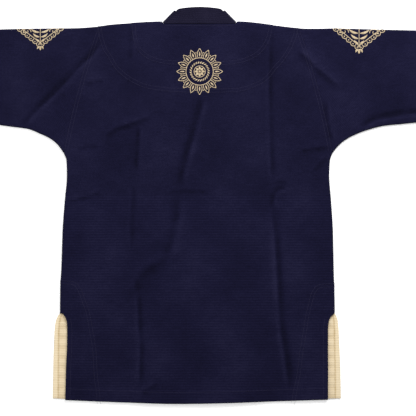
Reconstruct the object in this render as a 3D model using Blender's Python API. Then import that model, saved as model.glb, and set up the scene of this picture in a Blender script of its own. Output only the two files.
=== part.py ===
"""Jiu-jitsu gi jacket lying flat on its front, seen from behind: metres, +Z up, +Y to the collar.

The wearer's left is at -X. Each cut piece is one wall of cloth with its own thickness. The fronts lie on
the floor, the right one over the left one, and the back lies on both. The back and the fronts roll
towards each other at the side seams and shoulders. The sleeves are flattened tubes.
"""

import math
from collections import namedtuple

import bpy
import bmesh
from mathutils import Vector

# Thicknesses and the gap that is left at a seam
CLOTH = 0.0020
BAND = 0.0045
TAPE = 0.0014
SEAM_GAP = 0.0003
CLEARANCE = 0.0004

# Heights of the middle of each wall above the floor
FRONT_MID = CLOTH / 2
BACK_MID = 0.0066
SIDE_SEAM_MID = (FRONT_MID + BACK_MID) / 2
ROLL_RADIUS = (BACK_MID - FRONT_MID) / 2
OUTER_RADIUS = ROLL_RADIUS + CLOTH / 2

# How the hidden layers raise what lies on them: flat margin beside a layer, then a ramp down
BED_MARGIN = 0.012
BED_RAMP = 0.022
LAPEL_LIFT = 0.0022
LAPEL_LIFT_MARGIN = 0.018
LAPEL_LIFT_RAMP = 0.050
LAPEL_LIFT_TOP_Y = 0.215
LAPEL_LIFT_TOP_RAMP = 0.060
CROSSING_LIFT = 0.0028
CROSSING_Y = 0.195
CROSSING_HALF = (0.046, 0.094)
CROSSING_RAMP = 1.1
FOLD_SHARE_ON_LAPELS = 0.4

# How far the back settles on the fronts at its free edges, and over what width
EDGE_SETTLE = 0.0014
HEM_SETTLE_RUN = 0.060
SLIT_SETTLE_RUN = 0.040

# Outline levels, measured along Y
ARMPIT_Y = 0.1118
SLIT_TOP_Y = -0.2225
SLIT_OPEN_Y = -0.2340
HEM_Y = -0.4160
PIT_ROW = 0.006
FRONT_HEM_INSET = 0.0020

# Collar band: its width on the fronts, and the fold where it turns under beside the neck
LAPEL_WIDTH = 0.038
BAND_FOLD_RADIUS = 0.00275
BAND_LOW_MID = BAND / 2
BAND_HIGH_MID = BAND_LOW_MID + 2 * BAND_FOLD_RADIUS
NECK_HALF = 0.0775
NECK_ROLL_RUN = 0.004
NECK_SEAM_Y = 0.3850
NECK_SEAM_RISE = 0.0004
BAND_END = (0.0727, 0.3854)
BAND_CORNER = (0.0468, 0.4118)
BAND_TOP_Y = 0.4207
NECK_CORNER_Y = 0.3885
NECK_CORNER_SLANT = 1.4
BAND_HEM_Y = -0.4150
BAND_SQUARE_Y = -0.3800
BAND_STRAIGHTEN_RUN = 0.055
BAND_LEAN = 0.020

# Facing tape of the slits
FACING_WIDTH = 0.036
FACING_TOP_Y = -0.2350
FACING_ROUNDING = 0.012
FACING_HEM_Y = -0.4085
FACING_MID = CLOTH + SEAM_GAP + TAPE / 2

# Mesh density
ROLL_STEPS = 3
RING_END_STEPS = 4
RING_TOP_STEPS = 9
RING_FLOOR_STEPS = 6
BAND_STEPS = 3
FACING_STEPS = 3
BAND_FOLD_STEPS = 7
BAND_NECK_STEPS = 10

# Half outlines. The y column rises, and x is the silhouette seen from above
Side = namedtuple("Side", "y back_left back_right front_left front_right roll")
SIDES = (
    Side(-0.4200, -0.2849, 0.2724, -0.3104, 0.2989, 0.0),
    Side(-0.3400, -0.2828, 0.2726, -0.3090, 0.2972, 0.0),
    Side(-0.2950, -0.2808, 0.2724, -0.3073, 0.2953, 0.0),
    Side(-0.2650, -0.2807, 0.2728, -0.3056, 0.2940, 0.0),
    Side(-0.2430, -0.2826, 0.2752, -0.3030, 0.2920, 0.0),
    Side(SLIT_OPEN_Y, -0.2875, 0.2810, -0.2990, 0.2890, 0.0),
    Side(SLIT_TOP_Y, -0.2962, 0.2862, -0.2962, 0.2862, 1.0),
    Side(-0.1801, -0.2947, 0.2854, -0.2947, 0.2854, 1.0),
    Side(-0.1165, -0.2919, 0.2834, -0.2919, 0.2834, 1.0),
    Side(-0.0529, -0.2896, 0.2817, -0.2896, 0.2817, 1.0),
    Side(0.0107, -0.2849, 0.2781, -0.2849, 0.2781, 1.0),
    Side(0.0640, -0.2806, 0.2746, -0.2806, 0.2746, 1.0),
    Side(0.0955, -0.2818, 0.2762, -0.2818, 0.2762, 1.0),
    Side(ARMPIT_Y, -0.2880, 0.2822, -0.2880, 0.2822, 1.0),
)

Edge = namedtuple("Edge", "x y")
SHOULDERS = (
    Edge(-0.2152, 0.3796),
    Edge(-0.1855, 0.3836),
    Edge(-0.1473, 0.3864),
    Edge(-0.0880, 0.3888),
    Edge(0.0000, 0.3892),
    Edge(0.0850, 0.3890),
    Edge(0.1081, 0.3881),
    Edge(0.1505, 0.3830),
    Edge(0.1929, 0.3777),
    Edge(0.2120, 0.3760),
)
HEM = (
    Edge(-0.3104, -0.4116),
    Edge(-0.2334, -0.4150),
    Edge(-0.1261, -0.4188),
    Edge(-0.0500, -0.4207),
    Edge(0.0445, -0.4192),
    Edge(0.1505, -0.4158),
    Edge(0.2565, -0.4124),
    Edge(0.2989, -0.4116),
)

# Armhole seams, from the shoulder tip to the armpit
Armhole = namedtuple("Armhole", "tip_x tip_y pit_x bulge")
ARMHOLES = {
    "left": Armhole(-0.2152, 0.3796, -0.2885, -0.006),
    "right": Armhole(0.2120, 0.3760, 0.2827, 0.006),
}

# Sleeves: out is the distance from the armhole, top and under are the two folded edges
Station = namedtuple("Station", "out top_x top_y under_x under_y")
SLEEVE_LEFT = (
    Station(0.000, -0.2152, 0.3796, -0.2885, 0.1118),
    Station(0.022, -0.2360, 0.3780, -0.3010, 0.1290),
    Station(0.048, -0.2600, 0.3765, -0.3180, 0.1425),
    Station(0.080, -0.2900, 0.3760, -0.3380, 0.1520),
    Station(0.118, -0.3300, 0.3757, -0.3650, 0.1625),
    Station(0.162, -0.3750, 0.3750, -0.3964, 0.1667),
    Station(0.212, -0.4250, 0.3738, -0.4300, 0.1712),
    Station(0.285, -0.5000, 0.3720, -0.5000, 0.1790),
    Station(0.485, -0.7000, 0.3662, -0.7000, 0.1925),
    Station(0.600, -0.8150, 0.3625, -0.8150, 0.1985),
)
SLEEVE_RIGHT = (
    Station(0.000, 0.2120, 0.3760, 0.2827, 0.1118),
    Station(0.022, 0.2330, 0.3752, 0.2910, 0.1228),
    Station(0.048, 0.2560, 0.3755, 0.3060, 0.1368),
    Station(0.080, 0.2860, 0.3760, 0.3286, 0.1496),
    Station(0.118, 0.3250, 0.3750, 0.3560, 0.1600),
    Station(0.162, 0.3700, 0.3738, 0.3922, 0.1691),
    Station(0.212, 0.4200, 0.3725, 0.4250, 0.1723),
    Station(0.285, 0.5000, 0.3710, 0.5000, 0.1795),
    Station(0.485, 0.7000, 0.3662, 0.7000, 0.1925),
    Station(0.600, 0.8150, 0.3625, 0.8150, 0.1985),
)
SLEEVE_RUNS = ((0.0, 0.12, 6), (0.12, 0.30, 6), (0.30, 0.60, 7))

# Seam edge of the left lapel: x at each y, mirrored for the right one
Lapel = namedtuple("Lapel", "y x")
LAPEL = (
    Lapel(-0.4250, 0.0500),
    Lapel(-0.0800, 0.0500),
    Lapel(0.0200, 0.0400),
    Lapel(0.1500, -0.0060),
    Lapel(0.2700, -0.0500),
    Lapel(0.3350, -0.0665),
    Lapel(0.3854, -0.0727),
)

# Largest folds that press through the upper cloth: rise is negative for a trough
Fold = namedtuple("Fold", "rise width path")
FOLDS = (
    Fold(0.0016, 0.013, ((0.1537, 0.3722), (0.1495, 0.2238), (0.1537, 0.0436), (0.1601, -0.0412))),
    Fold(0.0016, 0.013, ((0.1601, -0.0412), (0.1664, -0.1048), (0.1770, -0.2850), (0.1876, -0.4016))),
    Fold(0.0013, 0.013, ((-0.1473, 0.3764), (-0.1325, 0.1602), (-0.1304, 0.0860), (-0.1452, -0.0730))),
    Fold(0.0013, 0.013, ((-0.1261, -0.1472), (-0.1325, -0.1684), (-0.1283, -0.2426), (-0.1240, -0.4016))),
    Fold(-0.0014, 0.012, ((-0.2173, 0.3467), (-0.2900, 0.2640), (-0.3636, 0.1771))),
    Fold(0.0014, 0.014, ((-0.2420, 0.3560), (-0.3200, 0.2740), (-0.3900, 0.1960))),
    Fold(0.0015, 0.014, ((0.2025, 0.3340), (0.2600, 0.2900), (0.3085, 0.2450))),
    Fold(-0.0012, 0.012, ((0.3572, 0.1771), (0.3933, 0.1898), (0.4590, 0.2026))),
    Fold(0.0013, 0.014, ((-0.2003, 0.1496), (-0.1367, 0.1750), (-0.1007, 0.1856))),
    Fold(0.0015, 0.016, ((-0.5100, 0.3500), (-0.5700, 0.2900), (-0.6400, 0.2300))),
    Fold(0.0015, 0.016, ((0.5200, 0.2200), (0.5900, 0.2700), (0.6600, 0.3300))),
)


def blend(a, b, t):
    return a + (b - a) * t


def ease(t):
    """A smooth step from 0 to 1 as t goes from 0 to 1."""
    t = min(max(t, 0.0), 1.0)
    return t * t * (3 - 2 * t)


def read(table, column, at):
    """A column of a table at a value of its first column, on a smooth curve with no overshoot."""
    keys = [row[0] for row in table]
    values = [getattr(row, column) for row in table]
    if at <= keys[0]:
        return values[0]
    if at >= keys[-1]:
        return values[-1]
    slopes = [(values[i + 1] - values[i]) / (keys[i + 1] - keys[i]) for i in range(len(keys) - 1)]
    tangents = [slopes[0]]
    for before, after in zip(slopes, slopes[1:]):
        tangents.append(2 * before * after / (before + after) if before * after > 0 else 0.0)
    tangents.append(slopes[-1])
    i = max(k for k in range(len(keys) - 1) if keys[k] <= at)
    span = keys[i + 1] - keys[i]
    t = (at - keys[i]) / span
    start, end = values[i], values[i + 1]
    bend = (2 * t**3 - 3 * t**2 + 1) * start + (3 * t**2 - 2 * t**3) * end
    return bend + span * ((t**3 - 2 * t**2 + t) * tangents[i] + (t**3 - t**2) * tangents[i + 1])


def spread(runs):
    """Values along several runs, each given as its start, its end and its number of steps."""
    values = [runs[0][0]]
    for start, end, steps in runs:
        values += [blend(start, end, k / steps) for k in range(1, steps + 1)]
    return values


def near_path(x, y, path):
    """Distance from a point to a path, and how far along the path the nearest place is, from 0 to 1."""
    here = Vector((x, y))
    corners = [Vector(p) for p in path]
    lengths = [(b - a).length for a, b in zip(corners, corners[1:])]
    best, place, done = math.inf, 0.0, 0.0
    for a, b, length in zip(corners, corners[1:], lengths):
        t = min(max((here - a).dot(b - a) / length**2, 0.0), 1.0)
        distance = (here - a.lerp(b, t)).length
        if distance < best:
            best, place = distance, (done + t * length) / sum(lengths)
        done += length
    return best, place


def folds_at(x, y):
    """Height that the folds add to the upper cloth."""
    height = 0.0
    for fold in FOLDS:
        distance, place = near_path(x, y, fold.path)
        if distance < 3 * fold.width:
            ends = ease(place / 0.15) * ease((1 - place) / 0.15)
            height += fold.rise * ends * math.exp(-((distance / fold.width) ** 2))
    return height


def lapel_seam_x(y):
    return read(LAPEL, "x", y)


def lapel_free_x(y):
    """Free edge of the left lapel at this height, measured straight across."""
    slope = (lapel_seam_x(y + 0.01) - lapel_seam_x(y - 0.01)) / 0.02
    return lapel_seam_x(y) + LAPEL_WIDTH * math.hypot(1, slope)


def bed_of_right(x, y):
    """Height of what the right front and lapel lie on: the left lapel, the left front or the floor."""
    seam, free = lapel_seam_x(y), lapel_free_x(y)
    outside = max(seam - x, x - free) - BED_MARGIN
    over_lapel = (BAND + CLEARANCE) * (1 - ease(outside / BED_RAMP))
    over_front = (CLOTH + CLEARANCE) * (1 - ease((x - seam - BED_MARGIN) / BED_RAMP))
    return max(over_lapel, over_front)


def lift_of_back(x, y):
    """How far the hidden layers in the middle raise the back."""
    half = max(lapel_free_x(y), 0.030) + LAPEL_LIFT_MARGIN
    beside = 1 - ease((abs(x) - half) / LAPEL_LIFT_RAMP)
    below = 1 - ease((y - LAPEL_LIFT_TOP_Y) / LAPEL_LIFT_TOP_RAMP)
    reach = math.hypot(x / CROSSING_HALF[0], (y - CROSSING_Y) / CROSSING_HALF[1])
    crossing = 1 - ease((reach - 1.0) / CROSSING_RAMP)
    return LAPEL_LIFT * beside * below + CROSSING_LIFT * crossing


def settle_of_back(x, y):
    """How far the back sinks towards the fronts at its hem and slit edges."""
    hem = ease(1 - (y - read(HEM, "y", x)) / HEM_SETTLE_RUN)
    edge = read(SIDES, "back_left", y) if x < 0 else read(SIDES, "back_right", y)
    slit = ease(1 - abs(edge - x) / SLIT_SETTLE_RUN) * ease((SLIT_TOP_Y - y) / SLIT_SETTLE_RUN)
    return EDGE_SETTLE * max(hem, slit)


def back_height(x, y):
    lift = lift_of_back(x, y)
    free = 1 - min(lift / LAPEL_LIFT, 1.0)
    folds = folds_at(x, y) * blend(FOLD_SHARE_ON_LAPELS, 1.0, free)
    return BACK_MID + lift + folds - settle_of_back(x, y) * free


def armhole_x(side, y):
    """Armhole seam seen from above, a shallow curve from the shoulder tip to the armpit."""
    hole = ARMHOLES[side]
    t = (hole.tip_y - y) / (hole.tip_y - ARMPIT_Y)
    inward = -SEAM_GAP / 2 if hole.tip_x > 0 else SEAM_GAP / 2
    return blend(hole.tip_x, hole.pit_x, t) + hole.bulge * 4 * t * (1 - t) + inward


def roll_reach(roll, angle):
    """Plan reach and turn of an edge that rolls over: roll 0 is flat, and roll 1 turns a full quarter."""
    length = ROLL_RADIUS * angle
    if roll < 1e-3:
        return length, 0.0, 0.0
    radius = ROLL_RADIUS / roll
    turned = roll * angle
    return radius * math.sin(turned), radius * (1 - math.cos(turned)), turned


# A body panel: shares across, levels down, (x, roll or None) of each side, edges, and height
Sheet = namedtuple("Sheet", "columns rows left right top roll_top hem turn height")


def outline_place(sheet, column, row, face):
    """A point of a body panel. Column and row count from 0, and face is +1 for outside and -1 for inside."""
    rolls_l, rolls_r = (ROLL_STEPS if roll_of else 0 for _, roll_of in (sheet.left, sheet.right))
    last = len(sheet.columns) - 1 + rolls_l + rolls_r
    quarter = math.pi / 2
    top_angle = quarter * max(ROLL_STEPS - row, 0) / ROLL_STEPS
    level = sheet.rows[max(row - ROLL_STEPS, 0)]
    left_angle = quarter * max(rolls_l - column, 0) / ROLL_STEPS
    right_angle = quarter * max(column - (last - rolls_r), 0) / ROLL_STEPS
    share = sheet.columns[min(max(column - rolls_l, 0), len(sheet.columns) - 1)]

    def rolled_in(roll):
        """Distance from the silhouette to the line where the cloth starts to roll."""
        return roll_reach(roll, quarter)[0] + CLOTH / 2 * roll

    def side_row(side, roll_of):
        """X where the roll starts, the roll, and the share of the way down to the hem."""
        corner_x = side(sheet.rows[0])
        top_roll = sheet.roll_top(corner_x)
        top_y = sheet.top(corner_x) - rolled_in(top_roll)
        hem_y = sheet.hem(side(sheet.rows[-1]))
        if level >= ARMPIT_Y:
            y = blend(ARMPIT_Y, top_y, (level - ARMPIT_Y) / (sheet.rows[0] - ARMPIT_Y))
        elif level <= SLIT_OPEN_Y:
            y = blend(SLIT_OPEN_Y, hem_y, (SLIT_OPEN_Y - level) / (SLIT_OPEN_Y - sheet.rows[-1]))
        else:
            y = level
        y_edge = y + roll_reach(top_roll, top_angle)[0]
        roll = roll_of(y_edge) if roll_of else 0.0
        inset = rolled_in(roll) if roll_of else 0.0
        return side(y_edge), inset, roll, (top_y - y) / (top_y - hem_y)

    x_l, inset_l, roll_l, down_l = side_row(*sheet.left)
    x_r, inset_r, roll_r, down_r = side_row(*sheet.right)
    x = blend(x_l + inset_l, x_r - inset_r, share)
    roll_t = sheet.roll_top(x)
    y = blend(sheet.top(x) - rolled_in(roll_t), sheet.hem(x), blend(down_l, down_r, share))

    reach_l, drop_l, turn_l = roll_reach(roll_l, left_angle)
    reach_r, drop_r, turn_r = roll_reach(roll_r, right_angle)
    reach_t, drop_t, turn_t = roll_reach(roll_t, top_angle)
    to_seam = 1 - SEAM_GAP / 2 / ROLL_RADIUS
    z = sheet.height(x, y) + sheet.turn * (drop_l + drop_r + drop_t) * to_seam
    out = Vector((math.sin(turn_r) - math.sin(turn_l), math.sin(turn_t), 0))
    out.z = -sheet.turn * math.cos(max(turn_l, turn_r, turn_t))
    out.normalize()
    return Vector((x - reach_l + reach_r, y + reach_t, z)) + out * (face * CLOTH / 2)


def material(name, colour, roughness):
    made = bpy.data.materials.new(name)
    made.use_nodes = True
    shader = made.node_tree.nodes["Principled BSDF"]
    shader.inputs["Base Color"].default_value = (*colour, 1)
    shader.inputs["Roughness"].default_value = roughness
    shader.inputs["Metallic"].default_value = 0
    return made


def finish(name, bm, look):
    """Turns the mesh into a named object with its faces pointing out."""
    bmesh.ops.recalc_face_normals(bm, faces=bm.faces)
    mesh = bpy.data.meshes.new(name)
    bm.to_mesh(mesh)
    bm.free()
    mesh.shade_smooth()
    mesh.materials.append(look)
    made = bpy.data.objects.new(name, mesh)
    bpy.context.scene.collection.objects.link(made)
    return made


def wall(name, across, along, place, look):
    """A wall of cloth: a grid for its outside, one for its inside, and a rim that joins them."""
    bm = bmesh.new()
    for face in (1, -1):
        made = bmesh.ops.create_grid(bm, x_segments=across, y_segments=along, size=0.5)["verts"]
        for vertex in made:
            column = round((vertex.co.x + 0.5) * across)
            row = round((vertex.co.y + 0.5) * along)
            vertex.co = place(column, row, face)
    rim = [edge for edge in bm.edges if edge.is_boundary]
    bmesh.ops.bridge_loops(bm, edges=rim)
    return finish(name, bm, look)


def body_panel(name, sheet, look):
    rolled_sides = sum(roll_of is not None for _, roll_of in (sheet.left, sheet.right))
    across = len(sheet.columns) - 1 + ROLL_STEPS * rolled_sides
    along = len(sheet.rows) - 1 + ROLL_STEPS
    return wall(name, across, along, lambda c, r, f: outline_place(sheet, c, r, f), look)


def levels(upper, lower, skirt):
    """Row heights from the shoulder down to the hem, with rows at the armpit and at the slit's top."""
    return spread(
        (
            (SHOULDERS[-1].y, ARMPIT_Y + PIT_ROW, upper),
            (ARMPIT_Y + PIT_ROW, ARMPIT_Y, 1),
            (ARMPIT_Y, SLIT_TOP_Y, lower),
            (SLIT_TOP_Y, SLIT_OPEN_Y, 2),
            (SLIT_OPEN_Y, HEM_Y, skirt),
        )
    )


def side_x(panel, side):
    """Silhouette of a panel's side at each height: the armhole above the armpit, the side seam below."""
    column = f"{panel}_{side}"
    return lambda y: armhole_x(side, y) if y > ARMPIT_Y else read(SIDES, column, y)


def side_roll(y):
    return 0.0 if y > ARMPIT_Y + 1e-6 else read(SIDES, "roll", y)


def make_back(look):
    def top(x):
        """Shoulder edge, or the neck seam between the two ends of the collar band."""
        if abs(x) > NECK_HALF:
            return read(SHOULDERS, "y", x)
        return NECK_SEAM_Y + NECK_SEAM_RISE * (x / NECK_HALF) ** 2 - SEAM_GAP

    tips = [ARMHOLES[side].tip_x for side in ("left", "right")]
    neck = [(x - tips[0]) / (tips[1] - tips[0]) for x in (-NECK_HALF, NECK_HALF)]
    step = NECK_ROLL_RUN / (tips[1] - tips[0])
    sheet = Sheet(
        columns=spread(
            (
                (0, neck[0] - step, 10),
                (neck[0] - step, neck[0], 1),
                (neck[0], neck[1], 9),
                (neck[1], neck[1] + step, 1),
                (neck[1] + step, 1, 10),
            )
        ),
        rows=levels(11, 14, 8),
        left=(side_x("back", "left"), side_roll),
        right=(side_x("back", "right"), side_roll),
        top=top,
        roll_top=lambda x: ease((abs(x) - NECK_HALF) / NECK_ROLL_RUN),
        hem=lambda x: read(HEM, "y", x),
        turn=-1,
        height=back_height,
    )
    return body_panel("back_panel", sheet, look)


def make_front(side, look):
    outer = side_x("front", side)
    sign = -1 if side == "left" else 1

    def seam(y):
        """Edge that the collar band is sewn to."""
        past = max(y - BAND_END[1], 0.0)
        return sign * (-lapel_seam_x(y) + SEAM_GAP + past * NECK_CORNER_SLANT)

    hidden = side == "left"
    sheet = Sheet(
        columns=spread(((0, 1, 9),)) if hidden else spread(((0, 0.55, 14), (0.55, 1, 4))),
        rows=levels(11, 10, 6),
        left=(outer, side_roll) if hidden else (seam, None),
        right=(seam, None) if hidden else (outer, side_roll),
        top=lambda x: min(read(SHOULDERS, "y", x), NECK_CORNER_Y),
        roll_top=lambda x: 1.0,
        hem=lambda x: read(HEM, "y", x) + FRONT_HEM_INSET,
        turn=1,
        height=lambda x, y: FRONT_MID + (0.0 if hidden else bed_of_right(x, y)),
    )
    return body_panel(f"front_{side}", sheet, look)


def make_sleeve(side, table, look):
    """A flattened tube: an outer and an inner surface, joined at the armhole and at the cuff."""
    hole = ARMHOLES[side]
    outs = spread(SLEEVE_RUNS)
    ring_steps = RING_TOP_STEPS + RING_FLOOR_STEPS + 2 * RING_END_STEPS
    loops = 2 * len(outs)

    def section(out, step, offset):
        top = Vector((read(table, "top_x", out), read(table, "top_y", out)))
        under = Vector((read(table, "under_x", out), read(table, "under_y", out)))
        length = (under - top).length
        radius = ROLL_RADIUS + offset
        inner_end = length - OUTER_RADIUS
        if step <= RING_TOP_STEPS:
            q, rise = blend(OUTER_RADIUS, inner_end, step / RING_TOP_STEPS), radius
        elif step <= RING_TOP_STEPS + RING_END_STEPS:
            angle = math.pi * (step - RING_TOP_STEPS) / RING_END_STEPS
            q, rise = inner_end + radius * math.sin(angle), radius * math.cos(angle)
        elif step <= RING_TOP_STEPS + RING_END_STEPS + RING_FLOOR_STEPS:
            t = (step - RING_TOP_STEPS - RING_END_STEPS) / RING_FLOOR_STEPS
            q, rise = blend(inner_end, OUTER_RADIUS, t), -radius
        else:
            angle = math.pi * (ring_steps - step) / RING_END_STEPS
            q, rise = OUTER_RADIUS - radius * math.sin(angle), radius * math.cos(angle)
        share = q / length
        plan = top.lerp(under, share)
        fade = 1 - ease(out / 0.08)
        plan.x += math.copysign(SEAM_GAP, hole.tip_x) + hole.bulge * 4 * share * (1 - share) * fade
        fold = folds_at(plan.x, plan.y) * ease(rise / radius)
        return Vector((plan.x, plan.y, SIDE_SEAM_MID + rise + fold))

    bm = bmesh.new()
    made = bmesh.ops.create_grid(bm, x_segments=ring_steps, y_segments=loops, size=0.5)["verts"]
    for vertex in made:
        step = round((vertex.co.x + 0.5) * ring_steps) % ring_steps
        loop = round((vertex.co.y + 0.5) * loops) % loops
        outside = loop < len(outs)
        out = outs[loop] if outside else outs[loops - 1 - loop]
        vertex.co = section(out, step, CLOTH / 2 if outside else -CLOTH / 2)
    bmesh.ops.remove_doubles(bm, verts=bm.verts, dist=1e-6)
    return finish(f"sleeve_{side}", bm, look)


def lapel_station(sign, y):
    """Cross line of a lapel: seam edge, free edge, and the outside of the band, which faces the floor."""
    slope = (lapel_seam_x(y + 0.008) - lapel_seam_x(y - 0.008)) / 0.016
    across = Vector((1, slope)).normalized()
    below_neck = BAND_END[1] - y
    seam = Vector((lapel_seam_x(y), y))
    slanted = Vector((-BAND_CORNER[0] - BAND_LEAN * below_neck, BAND_CORNER[1] - below_neck))
    free = slanted.lerp(seam + across * LAPEL_WIDTH, ease(below_neck / BAND_STRAIGHTEN_RUN))
    if y < BAND_SQUARE_Y:
        free.y = y
    points = [Vector((-sign * p.x, p.y)) for p in (seam, free)]
    beds = [bed_of_right(*p) if sign > 0 else 0.0 for p in points]
    ends = [Vector((*p, BAND_LOW_MID + bed)) for p, bed in zip(points, beds)]
    return (*ends, Vector((0, 0, -1)))


def fold_stations(sign):
    """Half turn of the band beside the neck, from the lapel up to the back of the neck."""
    start, tip = (Vector((sign * x, y, BAND_LOW_MID + BAND_FOLD_RADIUS)) for x, y in (BAND_END, BAND_CORNER))
    away = Vector((sign * (tip - start).y, abs(tip.x - start.x), 0)).normalized()
    stations = []
    for k in range(BAND_FOLD_STEPS + 1):
        angle = math.pi * (1 - k / BAND_FOLD_STEPS)
        outward = away * math.sin(angle) + Vector((0, 0, math.cos(angle)))
        stations.append((start + outward * BAND_FOLD_RADIUS, tip + outward * BAND_FOLD_RADIUS, outward))
    return stations


def neck_station(t):
    """Cross line at the back of the neck, with t from -1 at the left fold to 1 at the right one."""
    arch = (1 - t * t) * (BAND_TOP_Y - BAND_CORNER[1])
    dip = (1 - t * t) * (NECK_SEAM_Y - BAND_END[1])
    seam = Vector((t * BAND_END[0], BAND_END[1] + dip, BAND_HIGH_MID))
    free = Vector((t * BAND_CORNER[0], BAND_CORNER[1] + arch, BAND_HIGH_MID))
    return seam, free, Vector((0, 0, 1))


def make_collar(look):
    """One long band: up the right front, round the back of the neck and down the left front."""
    ys = spread(((BAND_HEM_Y, -0.10, 7), (-0.10, 0.30, 20), (0.30, BAND_END[1] - 0.004, 4)))
    stations = [lapel_station(1, y) for y in ys] + fold_stations(1)
    stations += [neck_station(1 - 2 * k / BAND_NECK_STEPS) for k in range(1, BAND_NECK_STEPS)]
    stations += fold_stations(-1)[::-1] + [lapel_station(-1, y) for y in reversed(ys)]

    def place(column, row, face):
        seam, free, outward = stations[row]
        return seam.lerp(free, column / BAND_STEPS) + outward * (face * BAND / 2)

    return wall("collar", BAND_STEPS, len(stations) - 1, place, look)


def make_facing(side, look):
    """Tape on the inside of a front's slit edge, seen beside the narrower back."""
    sign = -1 if side == "left" else 1
    shoulder_y = FACING_TOP_Y - FACING_ROUNDING
    ys = spread(((FACING_TOP_Y, shoulder_y, 4), (shoulder_y, FACING_HEM_Y, 8)))

    def place(column, row, face):
        y = ys[row]
        gone = min(max((y - shoulder_y) / FACING_ROUNDING, 0.0), 1.0)
        cut = 0.9 * FACING_ROUNDING * (1 - math.sqrt(1 - gone * gone))
        inward = cut + (FACING_WIDTH - cut) * column / FACING_STEPS
        x = read(SIDES, f"front_{side}", y) - sign * inward
        return Vector((x, y, FACING_MID + face * TAPE / 2))

    return wall(f"vent_facing_{side}", FACING_STEPS, len(ys) - 1, place, look)


def main():
    for thing in list(bpy.data.objects):
        bpy.data.objects.remove(thing, do_unlink=True)
    navy = material("navy_cotton_weave", (0.010, 0.011, 0.031), 0.9)
    navy_band = material("navy_collar_band", (0.016, 0.013, 0.030), 0.85)
    cream = material("cream_cotton_tape", (0.80, 0.63, 0.42), 0.85)
    make_back(navy)
    for side, table in (("left", SLEEVE_LEFT), ("right", SLEEVE_RIGHT)):
        make_front(side, navy)
        make_sleeve(side, table, navy)
        make_facing(side, cream)
    make_collar(navy_band)


main()
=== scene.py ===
# %% [markdown]
# # A jiu-jitsu gi jacket, laid flat on its front
# The jacket lies face down, so the camera sees its back. A tailor cuts eight pieces for it: the back, two
# fronts, two sleeves, one long collar band, and a tape for each side slit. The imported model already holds
# them as plain solids at their real size. This file keeps those places and sizes, and gives each piece its
# fine surface: creases, hems, quilting, stitching, embroidery and the weave. All lengths are in metres. The
# wearer's left is at -X, the collar is at +Y, and the floor is at z = 0.

# %% Load the fixed frame
import math
from collections import namedtuple

import bmesh
import bpy
import numpy as np
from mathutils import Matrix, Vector


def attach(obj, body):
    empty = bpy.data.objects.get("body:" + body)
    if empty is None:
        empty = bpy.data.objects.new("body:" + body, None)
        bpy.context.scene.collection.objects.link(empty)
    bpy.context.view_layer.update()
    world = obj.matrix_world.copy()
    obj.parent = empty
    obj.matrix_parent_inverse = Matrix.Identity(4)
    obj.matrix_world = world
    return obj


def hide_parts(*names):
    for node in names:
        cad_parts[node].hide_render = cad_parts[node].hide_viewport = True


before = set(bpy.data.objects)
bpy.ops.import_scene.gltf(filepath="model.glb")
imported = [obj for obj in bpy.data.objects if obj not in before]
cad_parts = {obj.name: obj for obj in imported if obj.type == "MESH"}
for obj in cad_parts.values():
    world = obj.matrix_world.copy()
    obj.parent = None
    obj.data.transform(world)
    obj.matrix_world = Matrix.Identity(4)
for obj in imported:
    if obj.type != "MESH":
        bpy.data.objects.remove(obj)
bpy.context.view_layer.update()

# %% [markdown]
# ## Sizes of the jacket
# A jacket is drafted from a few sizes and some outlines, and everything else follows from them. These are
# the same sizes and outlines that the solids were made from, so each fine piece lands exactly on its solid.
# A table with named columns is easier to check against the real garment than a long list of points.

# %% Thicknesses, heights and levels
CLOTH = 0.0020
BAND = 0.0045
TAPE = 0.0014
SEAM_GAP = 0.0003
ARMHOLE_GAP = 0.00012
CLEARANCE = 0.0004

FRONT_MID = CLOTH / 2
BACK_MID = 0.0066
SIDE_SEAM_MID = (FRONT_MID + BACK_MID) / 2
ROLL_RADIUS = (BACK_MID - FRONT_MID) / 2
OUTER_RADIUS = ROLL_RADIUS + CLOTH / 2
QUARTER = math.pi / 2

BED_MARGIN = 0.012
BED_RAMP = 0.022
LAPEL_LIFT = 0.0022
LAPEL_LIFT_MARGIN = 0.018
LAPEL_LIFT_RAMP = 0.050
LAPEL_LIFT_TOP_Y = 0.215
LAPEL_LIFT_TOP_RAMP = 0.060
CROSSING_LIFT = 0.0028
CROSSING_Y = 0.195
CROSSING_HALF = (0.046, 0.094)
CROSSING_RAMP = 1.1
FOLD_SHARE_ON_LAPELS = 0.4
EDGE_SETTLE = 0.0014
HEM_SETTLE_RUN = 0.060
SLIT_SETTLE_RUN = 0.040

ARMPIT_Y = 0.1118
SLIT_TOP_Y = -0.2276
SLIT_OPEN_Y = -0.2340
HEM_Y = -0.4160
PIT_ROW = 0.006
FRONT_HEM_INSET = 0.0020

LAPEL_WIDTH = 0.038
BAND_FOLD_RADIUS = 0.00275
BAND_LOW_MID = BAND / 2
BAND_HIGH_MID = BAND_LOW_MID + 2 * BAND_FOLD_RADIUS
NECK_HALF = 0.0798
NECK_ROLL_RUN = 0.0024
NECK_CORNER_X = 0.0762
NECK_SEAM_Y = 0.3850
NECK_SEAM_RISE = 0.0004
NECK_TUCK = 0.0003
BAND_END = (0.0751, 0.3854)
BAND_CORNER = (0.0492, 0.4120)
BAND_TOP_Y = 0.4213
BAND_CORNER_PULL = 0.0009
NECK_CORNER_Y = 0.3885
NECK_CORNER_SLANT = 1.4
BAND_HEM_Y = -0.4150
BAND_SQUARE_Y = -0.3800
BAND_STRAIGHTEN_RUN = 0.055
BAND_LEAN = 0.020

FACING_WIDTH = 0.036

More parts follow.
